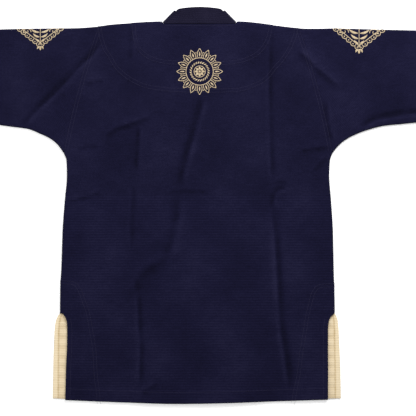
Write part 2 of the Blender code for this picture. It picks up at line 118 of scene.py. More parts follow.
# %% Outlines, as seen from above
Side = namedtuple("Side", "y back_left back_right front_left front_right roll")
SIDES = (
    Side(-0.4200, -0.2849, 0.2724, -0.3104, 0.2989, 0.0),
    Side(-0.3400, -0.2828, 0.2726, -0.3090, 0.2972, 0.0),
    Side(-0.2950, -0.2808, 0.2724, -0.3076, 0.2953, 0.0),
    Side(-0.2650, -0.2805, 0.2726, -0.3062, 0.2940, 0.0),
    Side(-0.2480, -0.2812, 0.2737, -0.3043, 0.2925, 0.0),
    Side(-0.2395, -0.2834, 0.2760, -0.3020, 0.2910, 0.0),
    Side(SLIT_OPEN_Y, -0.2862, 0.2796, -0.2998, 0.2890, 0.0),
    Side(-0.2303, -0.2892, 0.2838, -0.2976, 0.2873, 0.45),
    Side(SLIT_TOP_Y, -0.2955, 0.2864, -0.2962, 0.2864, 1.0),
    Side(-0.1801, -0.2951, 0.2858, -0.2951, 0.2858, 1.0),
    Side(-0.1165, -0.2927, 0.2845, -0.2927, 0.2845, 1.0),
    Side(-0.0529, -0.2906, 0.2831, -0.2906, 0.2831, 1.0),
    Side(0.0107, -0.2859, 0.2792, -0.2859, 0.2792, 1.0),
    Side(0.0640, -0.2814, 0.2754, -0.2814, 0.2754, 1.0),
    Side(0.0955, -0.2822, 0.2768, -0.2822, 0.2768, 1.0),
    Side(ARMPIT_Y, -0.2880, 0.2822, -0.2880, 0.2822, 1.0),
)

Edge = namedtuple("Edge", "x y")
SHOULDERS = (
    Edge(-0.2152, 0.3796),
    Edge(-0.1855, 0.3836),
    Edge(-0.1473, 0.3864),
    Edge(-0.0880, 0.3894),
    Edge(0.0000, 0.3900),
    Edge(0.0850, 0.3896),
    Edge(0.1081, 0.3881),
    Edge(0.1505, 0.3830),
    Edge(0.1929, 0.3777),
    Edge(0.2120, 0.3760),
)
HEM = (
    Edge(-0.3104, -0.4116),
    Edge(-0.2334, -0.4150),
    Edge(-0.1261, -0.4188),
    Edge(-0.0500, -0.4207),
    Edge(0.0445, -0.4192),
    Edge(0.1505, -0.4158),
    Edge(0.2565, -0.4124),
    Edge(0.2989, -0.4116),
)

Armhole = namedtuple("Armhole", "tip_x tip_y pit_x bulge")
ARMHOLES = {
    "left": Armhole(-0.2152, 0.3796, -0.2885, -0.006),
    "right": Armhole(0.2120, 0.3760, 0.2827, 0.006),
}

Station = namedtuple("Station", "out top_x top_y under_x under_y")
SLEEVES = {
    "left": (
        Station(0.000, -0.2152, 0.3796, -0.2885, 0.1118),
        Station(0.022, -0.2360, 0.3780, -0.3010, 0.1290),
        Station(0.048, -0.2600, 0.3765, -0.3180, 0.1425),
        Station(0.080, -0.2900, 0.3760, -0.3380, 0.1520),
        Station(0.118, -0.3300, 0.3757, -0.3650, 0.1625),
        Station(0.162, -0.3750, 0.3750, -0.3964, 0.1667),
        Station(0.212, -0.4250, 0.3738, -0.4300, 0.1712),
        Station(0.285, -0.5000, 0.3720, -0.5000, 0.1790),
        Station(0.485, -0.7000, 0.3662, -0.7000, 0.1925),
        Station(0.600, -0.8150, 0.3625, -0.8150, 0.1985),
    ),
    "right": (
        Station(0.000, 0.2120, 0.3760, 0.2827, 0.1118),
        Station(0.022, 0.2330, 0.3752, 0.2910, 0.1228),
        Station(0.048, 0.2560, 0.3755, 0.3060, 0.1368),
        Station(0.080, 0.2860, 0.3760, 0.3286, 0.1496),
        Station(0.118, 0.3250, 0.3750, 0.3560, 0.1600),
        Station(0.162, 0.3700, 0.3738, 0.3922, 0.1691),
        Station(0.212, 0.4200, 0.3725, 0.4250, 0.1723),
        Station(0.285, 0.5000, 0.3710, 0.5000, 0.1795),
        Station(0.485, 0.7000, 0.3662, 0.7000, 0.1925),
        Station(0.600, 0.8150, 0.3625, 0.8150, 0.1985),
    ),
}

Lapel = namedtuple("Lapel", "y x")
LAPEL = (
    Lapel(-0.4250, 0.0500),
    Lapel(-0.0800, 0.0500),
    Lapel(0.0200, 0.0400),
    Lapel(0.1500, -0.0060),
    Lapel(0.2700, -0.0500),
    Lapel(0.3350, -0.0680),
    Lapel(0.3854, -0.0751),
)

# %% [markdown]
# ## Reading an outline
# A tailor joins the marked points of a draft with a curved ruler. Straight lines between them would leave
# corners in the silhouette, and a plain spline may swing past a mark. A curve whose slope at each mark is
# taken from both neighbours, and is flat at a turning point, does neither. It works on whole arrays, so one
# call reads the outline for every point of a cloth grid.

# %% Small helpers for arrays
def blend(a, b, t):
    return a + (b - a) * t


def ease(t):
    """A smooth step from 0 to 1 as t goes from 0 to 1."""
    t = np.clip(t, 0.0, 1.0)
    return t * t * (3 - 2 * t)


def read(table, column, at):
    """A column of a table at values of its first column, on a smooth curve with no overshoot."""
    keys = np.array([row[0] for row in table])
    values = np.array([getattr(row, column) for row in table])
    slopes = np.diff(values) / np.diff(keys)
    before, after = slopes[:-1], slopes[1:]
    same_way = before * after > 0
    inner = np.where(same_way, 2 * before * after / np.where(same_way, before + after, 1), 0)
    tangents = np.concatenate(([slopes[0]], inner, [slopes[-1]]))
    at = np.clip(at, keys[0], keys[-1])
    i = np.clip(np.searchsorted(keys, at, side="right") - 1, 0, len(keys) - 2)
    span = keys[i + 1] - keys[i]
    t = (at - keys[i]) / span
    bend = (2 * t**3 - 3 * t**2 + 1) * values[i] + (3 * t**2 - 2 * t**3) * values[i + 1]
    return bend + span * ((t**3 - 2 * t**2 + t) * tangents[i] + (t**3 - t**2) * tangents[i + 1])


def spread(runs):
    """Values along several runs, each given as its start, its end and its number of steps."""
    values = [np.array([runs[0][0]])]
    for start, end, steps in runs:
        values.append(np.linspace(start, end, steps + 1)[1:])
    return np.concatenate(values)


def flowing(path, step=0.006):
    """Points about a step apart on a smooth curve through a path's corners."""
    corners = np.array(path, float)
    ends = np.vstack([2 * corners[0] - corners[1], corners, 2 * corners[-1] - corners[-2]])
    points = [corners[:1]]
    for a, b, c, d in zip(ends, ends[1:], ends[2:], ends[3:]):
        count = max(2, round(float(np.linalg.norm(c - b)) / step))
        t = (np.arange(1, count + 1) / count)[:, None]
        near = 2 * b + (c - a) * t
        points.append(0.5 * (near + (2 * a - 5 * b + 4 * c - d) * t**2 + (3 * b - a - 3 * c + d) * t**3))
    return np.vstack(points)


def beside(x, y, line, reach=math.inf):
    """Distance of points from a line, positive on its left, and the share of the way along it."""
    low, high = line.min(0) - reach, line.max(0) + reach
    near = (x >= low[0]) & (x <= high[0]) & (y >= low[1]) & (y <= high[1])
    px, py = x[near], y[near]
    best, along = np.full(px.shape, 1e3), np.zeros(px.shape)
    steps = np.diff(line, axis=0)
    lengths = np.linalg.norm(steps, axis=1)
    done = np.concatenate(([0], np.cumsum(lengths)))
    for start, step, length, run in zip(line, steps, lengths, done):
        t = np.clip(((px - start[0]) * step[0] + (py - start[1]) * step[1]) / length**2, 0, 1)
        off_x, off_y = px - start[0] - t * step[0], py - start[1] - t * step[1]
        away = np.hypot(off_x, off_y)
        closer = away < np.abs(best)
        best = np.where(closer, np.copysign(away, step[0] * off_y - step[1] * off_x), best)
        along = np.where(closer, (run + t * length) / done[-1], along)
    distance, place = np.full(x.shape, 1e3), np.zeros(x.shape)
    distance[near], place[near] = best, along
    return distance, place


chest_width = float(read(SIDES, "back_right", 0.1) - read(SIDES, "back_left", 0.1))
print("chest width, mm:", round(1000 * chest_width, 1))

# %% [markdown]
# ## Creases
# Thick cotton that was folded in a packet keeps hard creases, and cloth that is laid down by hand gets soft
# ones where it buckles. A crease isn't a plain groove: one side stands up as a lip, and the other side slopes
# away. Blender could get such shapes from a cloth simulation, but the photographed creases have their own
# places, so they are listed one by one: each row has a depth, a width, the share and side of its lip
# (positive is the left of its path) and the path that it follows. The broad folds are the ones that the
# solids have.

# %% The broad folds of the solids
Fold = namedtuple("Fold", "rise width path")
FOLDS = (
    Fold(0.0016, 0.013, ((0.1537, 0.3722), (0.1495, 0.2238), (0.1537, 0.0436), (0.1601, -0.0412))),
    Fold(0.0016, 0.013, ((0.1601, -0.0412), (0.1664, -0.1048), (0.1770, -0.2850), (0.1876, -0.4016))),
    Fold(0.0013, 0.013, ((-0.1473, 0.3764), (-0.1325, 0.1602), (-0.1304, 0.0860), (-0.1452, -0.0730))),
    Fold(0.0013, 0.013, ((-0.1261, -0.1472), (-0.1325, -0.1684), (-0.1283, -0.2426), (-0.1240, -0.4016))),
    Fold(-0.0014, 0.012, ((-0.2173, 0.3467), (-0.2900, 0.2640), (-0.3636, 0.1771))),
    Fold(0.0014, 0.014, ((-0.2420, 0.3560), (-0.3200, 0.2740), (-0.3900, 0.1960))),
    Fold(0.0015, 0.014, ((0.2025, 0.3340), (0.2600, 0.2900), (0.3085, 0.2450))),
    Fold(-0.0012, 0.012, ((0.3572, 0.1771), (0.3933, 0.1898), (0.4590, 0.2026))),
    Fold(0.0013, 0.014, ((-0.2003, 0.1496), (-0.1367, 0.1750), (-0.1007, 0.1856))),
    Fold(0.0015, 0.016, ((-0.5100, 0.3500), (-0.5700, 0.2900), (-0.6400, 0.2300))),
    Fold(0.0015, 0.016, ((0.5200, 0.2200), (0.5900, 0.2700), (0.6600, 0.3300))),
)

# %% The creases of the upper cloth
Crease = namedtuple("Crease", "depth width lip path")
CREASES = (
    # Across the top of the left sleeve, the strongest soft crease
    Crease(0.0022, 0.0054, 0.45, (
        (-0.212, 0.357), (-0.217, 0.340), (-0.230, 0.320), (-0.251, 0.301), (-0.264, 0.287),
        (-0.280, 0.269), (-0.301, 0.248), (-0.325, 0.224), (-0.347, 0.203), (-0.366, 0.181),
        (-0.384, 0.160),
    )),
    Crease(0.0010, 0.0045, 0.40, ((-0.243, 0.257), (-0.226, 0.260), (-0.202, 0.266))),
    # Beside the left armpit
    Crease(0.0016, 0.0050, 0.45, (
        (-0.202, 0.145), (-0.175, 0.160), (-0.149, 0.170), (-0.126, 0.178), (-0.101, 0.186),
    )),
    Crease(0.0010, 0.0045, -0.40, ((-0.185, 0.158), (-0.164, 0.162), (-0.145, 0.164))),
    Crease(0.0013, 0.0050, 0.40, ((-0.283, 0.006), (-0.258, 0.012), (-0.232, 0.018), (-0.209, 0.028))),
    Crease(0.0009, 0.0050, 0.30, ((-0.262, 0.118), (-0.238, 0.124), (-0.214, 0.126))),
    # The long packing fold on the right, from the shoulder to the hem
    Crease(0.0015, 0.0045, -0.40, (
        (0.153, 0.380), (0.151, 0.330), (0.150, 0.277), (0.150, 0.234), (0.151, 0.181), (0.153, 0.118),
        (0.155, 0.065), (0.156, 0.036),
    )),
    Crease(0.0016, 0.0045, 0.40, (
        (0.186, 0.039), (0.171, 0.035), (0.160, 0.027), (0.155, 0.012), (0.155, -0.008),
    )),
    Crease(0.0010, 0.0042, 0.40, ((0.156, 0.046), (0.169, 0.050), (0.187, 0.048))),
    Crease(0.0024, 0.0062, -0.50, (
        (0.154, 0.008), (0.157, -0.018), (0.161, -0.045), (0.164, -0.075), (0.166, -0.115), (0.169, -0.160),
        (0.171, -0.200), (0.174, -0.247), (0.179, -0.287), (0.185, -0.323), (0.190, -0.361), (0.193, -0.405),
    )),
    # The packing fold on the left, in four stretches
    Crease(0.0009, 0.0045, 0.35, ((-0.145, 0.379), (-0.145, 0.340), (-0.146, 0.304))),
    Crease(0.0016, 0.0045, 0.35, ((-0.129, 0.172), (-0.130, 0.139), (-0.132, 0.107), (-0.135, 0.070))),
    Crease(0.0010, 0.0045, -0.35, ((-0.139, 0.050), (-0.142, 0.001), (-0.144, -0.041), (-0.143, -0.098))),
    Crease(0.0014, 0.0090, -0.45, (
        (-0.062, -0.108), (-0.094, -0.128), (-0.118, -0.145), (-0.131, -0.164), (-0.132, -0.190),
    )),
    Crease(0.0020, 0.0048, -0.35, (
        (-0.130, -0.176), (-0.128, -0.211), (-0.127, -0.238), (-0.126, -0.264), (-0.123, -0.298),
        (-0.124, -0.340), (-0.125, -0.392),
    )),
    Crease(0.0013, 0.0050, 0.50, ((-0.124, -0.397), (-0.107, -0.390), (-0.088, -0.376))),
    # Down the middle, where the cloth lies over the lapels
    Crease(0.0022, 0.0065, 0.60, (
        (0.008, 0.238), (-0.001, 0.200), (-0.010, 0.169), (-0.020, 0.133), (-0.030, 0.097), (-0.038, 0.063),
        (-0.042, 0.034),
    )),
    Crease(0.0014, 0.0085, 0.45, (
        (-0.045, 0.026), (-0.047, -0.001), (-0.050, -0.031), (-0.058, -0.069), (-0.072, -0.110),
    )),
    Crease(0.0013, 0.0040, 0.25, ((-0.072, 0.025), (-0.048, 0.030), (-0.020, 0.031), (0.020, 0.030))),
    # Beside the right armpit and along the armhole
    Crease(0.0013, 0.0048, 0.40, ((0.213, 0.115), (0.238, 0.118), (0.260, 0.121), (0.281, 0.122))),
    Crease(0.0011, 0.0048, 0.40, ((0.236, 0.064), (0.251, 0.082), (0.270, 0.101))),
    Crease(0.0013, 0.0050, 0.45, ((0.268, 0.226), (0.269, 0.198), (0.273, 0.167), (0.282, 0.132))),
    # The right sleeve
    Crease(0.0015, 0.0065, 0.55, (
        (0.205, 0.330), (0.222, 0.311), (0.245, 0.289), (0.270, 0.268), (0.298, 0.245),
    )),
    Crease(0.0022, 0.0055, -0.50, (
        (0.340, 0.163), (0.361, 0.178), (0.381, 0.186), (0.410, 0.191), (0.438, 0.196), (0.475, 0.198),
    )),
    # The lower sleeves, past the photograph's edge
    Crease(0.0018, 0.0065, 0.50, ((-0.470, 0.352), (-0.520, 0.318), (-0.560, 0.276), (-0.600, 0.226))),
    Crease(0.0014, 0.0055, -0.45, ((-0.640, 0.344), (-0.668, 0.300), (-0.684, 0.250))),
    Crease(0.0012, 0.0050, 0.40, ((-0.455, 0.212), (-0.500, 0.222), (-0.548, 0.220))),
    Crease(0.0018, 0.0065, -0.50, ((0.520, 0.214), (0.566, 0.246), (0.604, 0.286), (0.650, 0.336))),
    Crease(0.0013, 0.0055, 0.45, ((0.700, 0.338), (0.712, 0.290), (0.704, 0.240))),
    Crease(0.0012, 0.0050, -0.40, ((0.500, 0.330), (0.540, 0.318), (0.588, 0.322))),
)

# %% The creases of the lower cloth, which only rise from the floor
HIDDEN_CREASES = (
    Crease(0.0011, 0.0060, 0.0, ((-0.225, 0.330), (-0.205, 0.240), (-0.210, 0.150), (-0.198, 0.060))),
    Crease(0.0010, 0.0055, 0.0, ((-0.190, -0.050), (-0.182, -0.160), (-0.188, -0.270), (-0.180, -0.385))),
    Crease(0.0009, 0.0050, 0.0, ((-0.270, 0.020), (-0.240, 0.034), (-0.216, 0.030))),
    Crease(0.0010, 0.0060, 0.0, ((0.205, 0.310), (0.212, 0.215), (0.204, 0.120), (0.214, 0.030))),
    Crease(0.0011, 0.0055, 0.0, ((0.224, -0.060), (0.232, -0.170), (0.226, -0.290), (0.236, -0.390))),
    Crease(0.0009, 0.0050, 0.0, ((0.262, 0.010), (0.236, 0.024), (0.215, 0.018))),
    Crease(0.0012, 0.0065, 0.0, ((-0.330, 0.345), (-0.385, 0.290), (-0.420, 0.215))),
    Crease(0.0011, 0.0060, 0.0, ((-0.560, 0.340), (-0.600, 0.290), (-0.650, 0.245))),
    Crease(0.0012, 0.0065, 0.0, ((0.340, 0.200), (0.390, 0.262), (0.420, 0.335))),
    Crease(0.0011, 0.0060, 0.0, ((0.575, 0.230), (0.612, 0.282), (0.660, 0.325))),
)

# %% Height that one crease adds
CREASE_END = 0.16
STEEP_SIDE = 0.72
GENTLE_SIDE = 1.35
LIP_PLACE = 1.35
LIP_WIDTH = 1.15


def crease_height(x, y, crease, trough_share=1.0):
    """A trough with a steep and a gentle side, and the lip that stands beside its steep side."""
    away, along = beside(x, y, flowing(crease.path), 4 * crease.width)
    towards_lip = away * math.copysign(1, crease.lip)
    width = crease.width * np.where(towards_lip > 0, STEEP_SIDE, GENTLE_SIDE)
    trough = np.exp(-((away / width) ** 2))
    lip = abs(crease.lip) * np.exp(-((towards_lip / crease.width - LIP_PLACE) / LIP_WIDTH) ** 2)
    ends = ease(along / CREASE_END) * ease((1 - along) / CREASE_END)
    first = crease.path[0]
    uneven = 1 + 0.22 * np.sin(13 * along + 60 * first[0]) + 0.14 * np.sin(29 * along + 90 * first[1])
    return crease.depth * ends * uneven * (lip - trough * trough_share)


def folds_at(x, y):
    """Height that the broad folds add to the upper cloth."""
    height = np.zeros(x.shape)
    for fold in FOLDS:
        away, along = beside(x, y, flowing(fold.path), 3 * fold.width)
        ends = ease(along / 0.15) * ease((1 - along) / 0.15)
        height += fold.rise * ends * np.exp(-((away / fold.width) ** 2))
    return height


def hidden_creases_at(x, y):
    """Height that the creases of the lower cloth add, never negative, so that it stays on the floor."""
    height = np.zeros(x.shape)
    for crease in HIDDEN_CREASES:
        away, along = beside(x, y, flowing(crease.path), 4 * crease.width)
        ends = ease(along / CREASE_END) * ease((1 - along) / CREASE_END)
        height += crease.depth * ends * np.exp(-((away / crease.width) ** 2))
    return height


print("creases:", len(CREASES), "above and", len(HIDDEN_CREASES), "below")

# %% [markdown]
# ## Easy waviness
# Between its creases, cloth that lies flat is still never quite flat. A sum of a few long, low waves in
# random directions gives that at almost no cost, and a seeded generator gives the same waves each time.

# %% Waves of the cloth
WAVES = (
    # shortest and longest wave, number of waves, height of each
    (0.030, 0.070, 10, 0.00005),
    (0.090, 0.240, 9, 0.00016),
)


def waviness(x, y):
    chance = np.random.default_rng(7)
    height = np.zeros(np.shape(x))
    for shortest, longest, count, rise in WAVES:
        for _ in range(count):
            length, turn, phase = chance.uniform((shortest, 0, 0), (longest, math.pi, 2 * math.pi))
            height += rise * np.sin(2 * math.pi / length * (x * math.cos(turn) + y * math.sin(turn)) + phase)
    return height


# %% [markdown]
# ## Doubled cloth
# A fighting jacket has second layers sewn on where it is pulled: over the shoulders, round the neck and at
# the slits. Its hems are turned twice. Each layer shows as a low step with a double row of stitches on it.
# The steps are heights added inside a line, and the stitching further down runs along the same lines.

# %% Lines of the reinforcements, and their steps
YOKE_LINE = (
    (-0.217, 0.392), (-0.214, 0.359), (-0.205, 0.330), (-0.195, 0.315), (-0.179, 0.289), (-0.152, 0.266),
    (-0.120, 0.250), (-0.084, 0.243), (-0.037, 0.239), (0.007, 0.238), (0.054, 0.239), (0.096, 0.243),
    (0.139, 0.262), (0.164, 0.289), (0.181, 0.309), (0.198, 0.336), (0.208, 0.364), (0.211, 0.392),
)
NECK_LINE = (
    (-0.145, 0.396), (-0.143, 0.364), (-0.135, 0.334), (-0.116, 0.314), (-0.090, 0.303), (-0.052, 0.298),
    (0.001, 0.296), (0.054, 0.297), (0.096, 0.304), (0.126, 0.319), (0.145, 0.342), (0.154, 0.368),
    (0.156, 0.396),
)
HIP_LINES = {
    "left": (
        (-0.300, -0.1575), (-0.287, -0.158), (-0.264, -0.161), (-0.251, -0.175), (-0.241, -0.200),
        (-0.232, -0.226), (-0.225, -0.264), (-0.218, -0.306), (-0.215, -0.359), (-0.211, -0.391),
        (-0.208, -0.422),
    ),
    "right": (
        (0.292, -0.1635), (0.283, -0.164), (0.251, -0.167), (0.237, -0.183), (0.230, -0.207), (0.224, -0.232),
        (0.217, -0.274), (0.210, -0.317), (0.205, -0.359), (0.198, -0.391), (0.193, -0.422),
    ),
}
LAYER_STEP = 0.0006
STEP_RUN = 0.0030
HEM_DEPTH = 0.0265
HEM_STEP = 0.0008
SLIT_HEM_DEPTH = 0.0120
CUFF_DEPTH = 0.0340
PUCKER_RISE = 0.00022
PUCKER_LENGTH = 0.016
PUCKER_REACH = 0.010


def layer(x, y, path, inside):
    """Step and puckers of a second layer. Inside is 1 where it lies on the left of its path, or -1."""
    line = flowing(path)
    away, along = beside(x, y, line)
    length = np.linalg.norm(np.diff(line, axis=0), axis=1).sum()
    step = LAYER_STEP * ease((inside * away) / STEP_RUN + 0.5)
    pucker = np.sin(2 * math.pi * along * length / PUCKER_LENGTH) * np.exp(-((away / PUCKER_REACH) ** 2))
    return step + PUCKER_RISE * pucker


def doubled_cloth(x, y):
    """Height that the second layers and the turned hems add to the back."""
    height = layer(x, y, YOKE_LINE, 1) + layer(x, y, NECK_LINE, 1)
    height += layer(x, y, HIP_LINES["left"], -1) + layer(x, y, HIP_LINES["right"], 1)
    above_hem = y - read(HEM, "y", x)
    height += HEM_STEP * ease((HEM_DEPTH - above_hem) / STEP_RUN + 0.5)
    ripple = np.sin(2 * math.pi * x / 0.037) + 0.6 * np.sin(2 * math.pi * x / 0.023 + 1)
    height += 0.00022 * ripple * np.exp(-((above_hem / 0.03) ** 2))
    edge = np.where(x < 0, read(SIDES, "back_left", y), read(SIDES, "back_right", y))
    beside_slit = SLIT_HEM_DEPTH - np.abs(edge - x)
    return height + HEM_STEP * ease(beside_slit / STEP_RUN + 0.5) * ease((SLIT_OPEN_Y - y) / 0.02)


# %% [markdown]
# ## What lies under the back
# The collar band runs down both front edges, and the right front crosses over the left one. They lift the
# back a little along the middle. The same ramps that shape the solids give those heights here.

# %% Beds and lifts
def lapel_seam_x(y):
    return read(LAPEL, "x", y)


def lapel_free_x(y):
    """Free edge of the left lapel at this height, measured straight across."""
    slope = (lapel_seam_x(y + 0.01) - lapel_seam_x(y - 0.01)) / 0.02
    return lapel_seam_x(y) + LAPEL_WIDTH * np.hypot(1, slope)


def bed_of_right(x, y):
    """Height of what the right front and lapel lie on: the left lapel, the left front or the floor."""
    seam, free = lapel_seam_x(y), lapel_free_x(y)
    outside = np.maximum(seam - x, x - free) - BED_MARGIN
    over_lapel = (BAND + CLEARANCE) * (1 - ease(outside / BED_RAMP))
    over_front = (CLOTH + CLEARANCE) * (1 - ease((x - seam - BED_MARGIN) / BED_RAMP))
    return np.maximum(over_lapel, over_front)


def lift_of_back(x, y):
    """How far the hidden layers in the middle raise the back."""
    half = np.maximum(lapel_free_x(y), 0.030) + LAPEL_LIFT_MARGIN
    sideways = 1 - ease((np.abs(x) - half) / LAPEL_LIFT_RAMP)
    below = 1 - ease((y - LAPEL_LIFT_TOP_Y) / LAPEL_LIFT_TOP_RAMP)
    reach = np.hypot(x / CROSSING_HALF[0], (y - CROSSING_Y) / CROSSING_HALF[1])
    crossing = 1 - ease((reach - 1.0) / CROSSING_RAMP)
    return LAPEL_LIFT * sideways * below + CROSSING_LIFT * crossing


def settle_of_back(x, y):
    """How far the back sinks towards the fronts at its hem and slit edges."""
    hem = ease(1 - (y - read(HEM, "y", x)) / HEM_SETTLE_RUN)
    edge = np.where(x < 0, read(SIDES, "back_left", y), read(SIDES, "back_right", y))
    slit = ease(1 - np.abs(edge - x) / SLIT_SETTLE_RUN) * ease((SLIT_TOP_Y - y) / SLIT_SETTLE_RUN)
    return EDGE_SETTLE * np.maximum(hem, slit)


# %% Height of the middle of the upper cloth
TROUGH_SHARE_ON_LAPELS = 0.30


def upper_relief(x, y, free):
    """Folds, creases and waves. Free is 1 where nothing but the fronts lies below, and 0 over the lapels."""
    height = folds_at(x, y) * blend(FOLD_SHARE_ON_LAPELS, 1.0, free) + waviness(x, y)
    for crease in CREASES:
        height += crease_height(x, y, crease, blend(TROUGH_SHARE_ON_LAPELS, 1.0, free))
    return height


def back_height(x, y):
    lift = lift_of_back(x, y)
    free = 1 - np.minimum(lift / LAPEL_LIFT, 1.0)
    return BACK_MID + lift + upper_relief(x, y, free) - settle_of_back(x, y) * free


# %% [markdown]
# ## The flat panels
# The back and the fronts are grids that are bent to the cut: straight inside, and rolled over by a quarter
# turn at the side seams and shoulders, where the back meets the fronts. Each point is found from its share
# across, its level down and how far it has turned. The middle surface is then moved out by half the cloth's
# thickness to each side, and a rim joins both faces. Subdividing the plain solids would only round them, so
# the grids are made anew, about 3 mm fine.

# %% Rolling an edge over
def roll_reach(roll, angle):
    """Plan reach, drop and turn of an edge that rolls over: roll 0 is flat, and roll 1 a full quarter."""
    flat = roll < 1e-3
    firm = np.where(flat, 1.0, roll)
    radius, turned = ROLL_RADIUS / firm, firm * angle
    reach = np.where(flat, ROLL_RADIUS * angle, radius * np.sin(turned))
    return reach, np.where(flat, 0.0, radius * (1 - np.cos(turned))), np.where(flat, 0.0, turned)


def rolled_in(roll):
    """Distance from the silhouette to the line where the cloth starts to roll."""
    return roll_reach(roll, QUARTER)[0] + CLOTH / 2 * roll


def side_roll(y):
    above = ease(1 - (y - ARMPIT_Y) / PIT_ROW)
    return np.where(y > ARMPIT_Y, above, read(SIDES, "roll", y))


def armhole_x(side, y):
    """Armhole seam seen from above, a shallow curve from the shoulder tip to the armpit."""
    hole = ARMHOLES[side]
    t = (hole.tip_y - y) / (hole.tip_y - ARMPIT_Y)
    inward = math.copysign(ARMHOLE_GAP / 2, -hole.tip_x)
    return blend(hole.tip_x, hole.pit_x, t) + hole.bulge * 4 * t * (1 - t) + inward


def side_x(panel, side):
    """Silhouette of a panel's side at each height: the armhole above the armpit, the side seam below."""
    column = f"{panel}_{side}"
    return lambda y: np.where(y > ARMPIT_Y, armhole_x(side, y), read(SIDES, column, y))


# %% Placing the points of a panel
Sheet = namedtuple("Sheet", "left right rolls_left rolls_right top roll_top hem turn height")
LEVEL_TOP = SHOULDERS[-1].y


def side_of(sheet, side, rolls, level, top_angle):
    """Where the cloth starts to roll at one side, its inset, its roll, and the share of the way down."""
    corner = side(np.array(LEVEL_TOP))
    top_roll = sheet.roll_top(corner)
    top_y = sheet.top(corner) - rolled_in(top_roll)
    hem_y = sheet.hem(side(np.array(HEM_Y)))
    upper = blend(ARMPIT_Y, top_y, (level - ARMPIT_Y) / (LEVEL_TOP - ARMPIT_Y))
    lower = blend(SLIT_OPEN_Y, hem_y, (SLIT_OPEN_Y - level) / (SLIT_OPEN_Y - HEM_Y))
    y = np.where(level >= ARMPIT_Y, upper, np.where(level <= SLIT_OPEN_Y, lower, level))
    y_edge = y + roll_reach(top_roll, top_angle)[0]
    roll = side_roll(y_edge) if rolls else np.zeros(y.shape)
    inset = rolled_in(roll) if rolls else np.zeros(y.shape)
    return side(y_edge), inset, roll, (top_y - y) / (top_y - hem_y)


def panel_points(sheet, share, left_angle, right_angle, level, top_angle):
    """Middle surface of a panel, its outward direction, and its place in the flat cut."""
    x_l, inset_l, roll_l, down_l = side_of(sheet, sheet.left, sheet.rolls_left, level, top_angle)
    x_r, inset_r, roll_r, down_r = side_of(sheet, sheet.right, sheet.rolls_right, level, top_angle)
    x = blend(x_l + inset_l, x_r - inset_r, share)
    roll_t = sheet.roll_top(x)
    y = blend(sheet.top(x) - rolled_in(roll_t), sheet.hem(x), blend(down_l, down_r, share))
    places, out = roll_over(sheet, x, y, (roll_l, roll_r, roll_t), (left_angle, right_angle, top_angle))
    cut = np.stack([x + ROLL_RADIUS * (right_angle - left_angle), y + ROLL_RADIUS * top_angle], -1)
    return places, out, cut


def roll_over(sheet, x, y, rolls, angles):
    """Middle surface and outward direction, from a place on its flat part and the turns past its sides."""
    (reach_l, drop_l, turn_l), (reach_r, drop_r, turn_r), (reach_t, drop_t, turn_t) = (
        roll_reach(roll, angle) for roll, angle in zip(rolls, angles)
    )
    to_seam = 1 - SEAM_GAP / 2 / ROLL_RADIUS
    z = sheet.height(x, y) + sheet.turn * (drop_l + drop_r + drop_t) * to_seam
    most = np.maximum(np.maximum(turn_l, turn_r), turn_t)
    out = np.stack([np.sin(turn_r) - np.sin(turn_l), np.sin(turn_t), -sheet.turn * np.cos(most)], -1)
    out /= np.linalg.norm(out, axis=-1, keepdims=True)
    return np.stack([x - reach_l + reach_r, y + reach_t, z], -1), out


# %% [markdown]
# ## From points to cloth
# The mesh itself comes from Blender's grid operator, once for each face of the wall, with its vertices moved
# to the worked-out points. Bridging the two borders makes the rim. A sleeve or the band is one grid that is
# wrapped round, whose meeting rows are merged. Each mesh keeps a UV map in metres of the flat cut, so the
# weave follows the cloth round its rolls, and a number at each point that paints shade into its creases and
# hollows and lightens raised tops, partly as wear and partly as painted highlight.

# %% Grids, walls and tubes
SHARP_EDGE = math.radians(55)


def add_grid(bm, points):
    """A grid with its vertices on an array of points, rows by columns."""
    rows, columns = points.shape[0] - 1, points.shape[1] - 1
    made = bmesh.ops.create_grid(bm, x_segments=columns, y_segments=rows, size=0.5)["verts"]
    places = [(round((v.co.y + 0.5) * rows), round((v.co.x + 0.5) * columns)) for v in made]
    for vertex, (row, column) in zip(made, places):
        vertex.co = points[row, column]
    return places


def lay_uv(bm, cut):
    """Writes the flat cut's place of each vertex to the UV map of the faces round it."""
    layer_uv = bm.loops.layers.uv.new("cut")
    bm.verts.index_update()
    for face in bm.faces:
        for loop in face.loops:
            loop[layer_uv].uv = cut[loop.vert.index]


def finished(name, bm, look):
    bmesh.ops.recalc_face_normals(bm, faces=bm.faces)
    mesh = bpy.data.meshes.new(name)
    bm.to_mesh(mesh)
    bm.free()
    mesh.shade_smooth()
    mesh.set_sharp_from_angle(angle=SHARP_EDGE)
    mesh.materials.append(look)
    made = bpy.data.objects.new(name, mesh)
    bpy.context.scene.collection.objects.link(made)
    print(name, "triangles:", sum(len(p.vertices) - 2 for p in mesh.polygons))
    return made


def wall(name, outer, inner, cut, wear_and_painted_shade, look):
    """A wall of cloth: a grid for its outside, one for its inside, and a rim that joins them."""
    bm = bmesh.new()
    # The number at each point paints shade into creases and lightens raised tops, partly as wear and partly
    # as painted highlight.
    shade = bm.verts.layers.float.new("wear_and_painted_shade")
    flat_cut = []
    for points in (outer, inner):
        places = add_grid(bm, points)
        flat_cut += [cut[place] for place in places]
        for vertex, place in zip(list(bm.verts)[-len(places):], places):
            vertex[shade] = wear_and_painted_shade[place]
    bmesh.ops.bridge_loops(bm, edges=[edge for edge in bm.edges if edge.is_boundary])
    lay_uv(bm, flat_cut)
    return finished(name, bm, look)


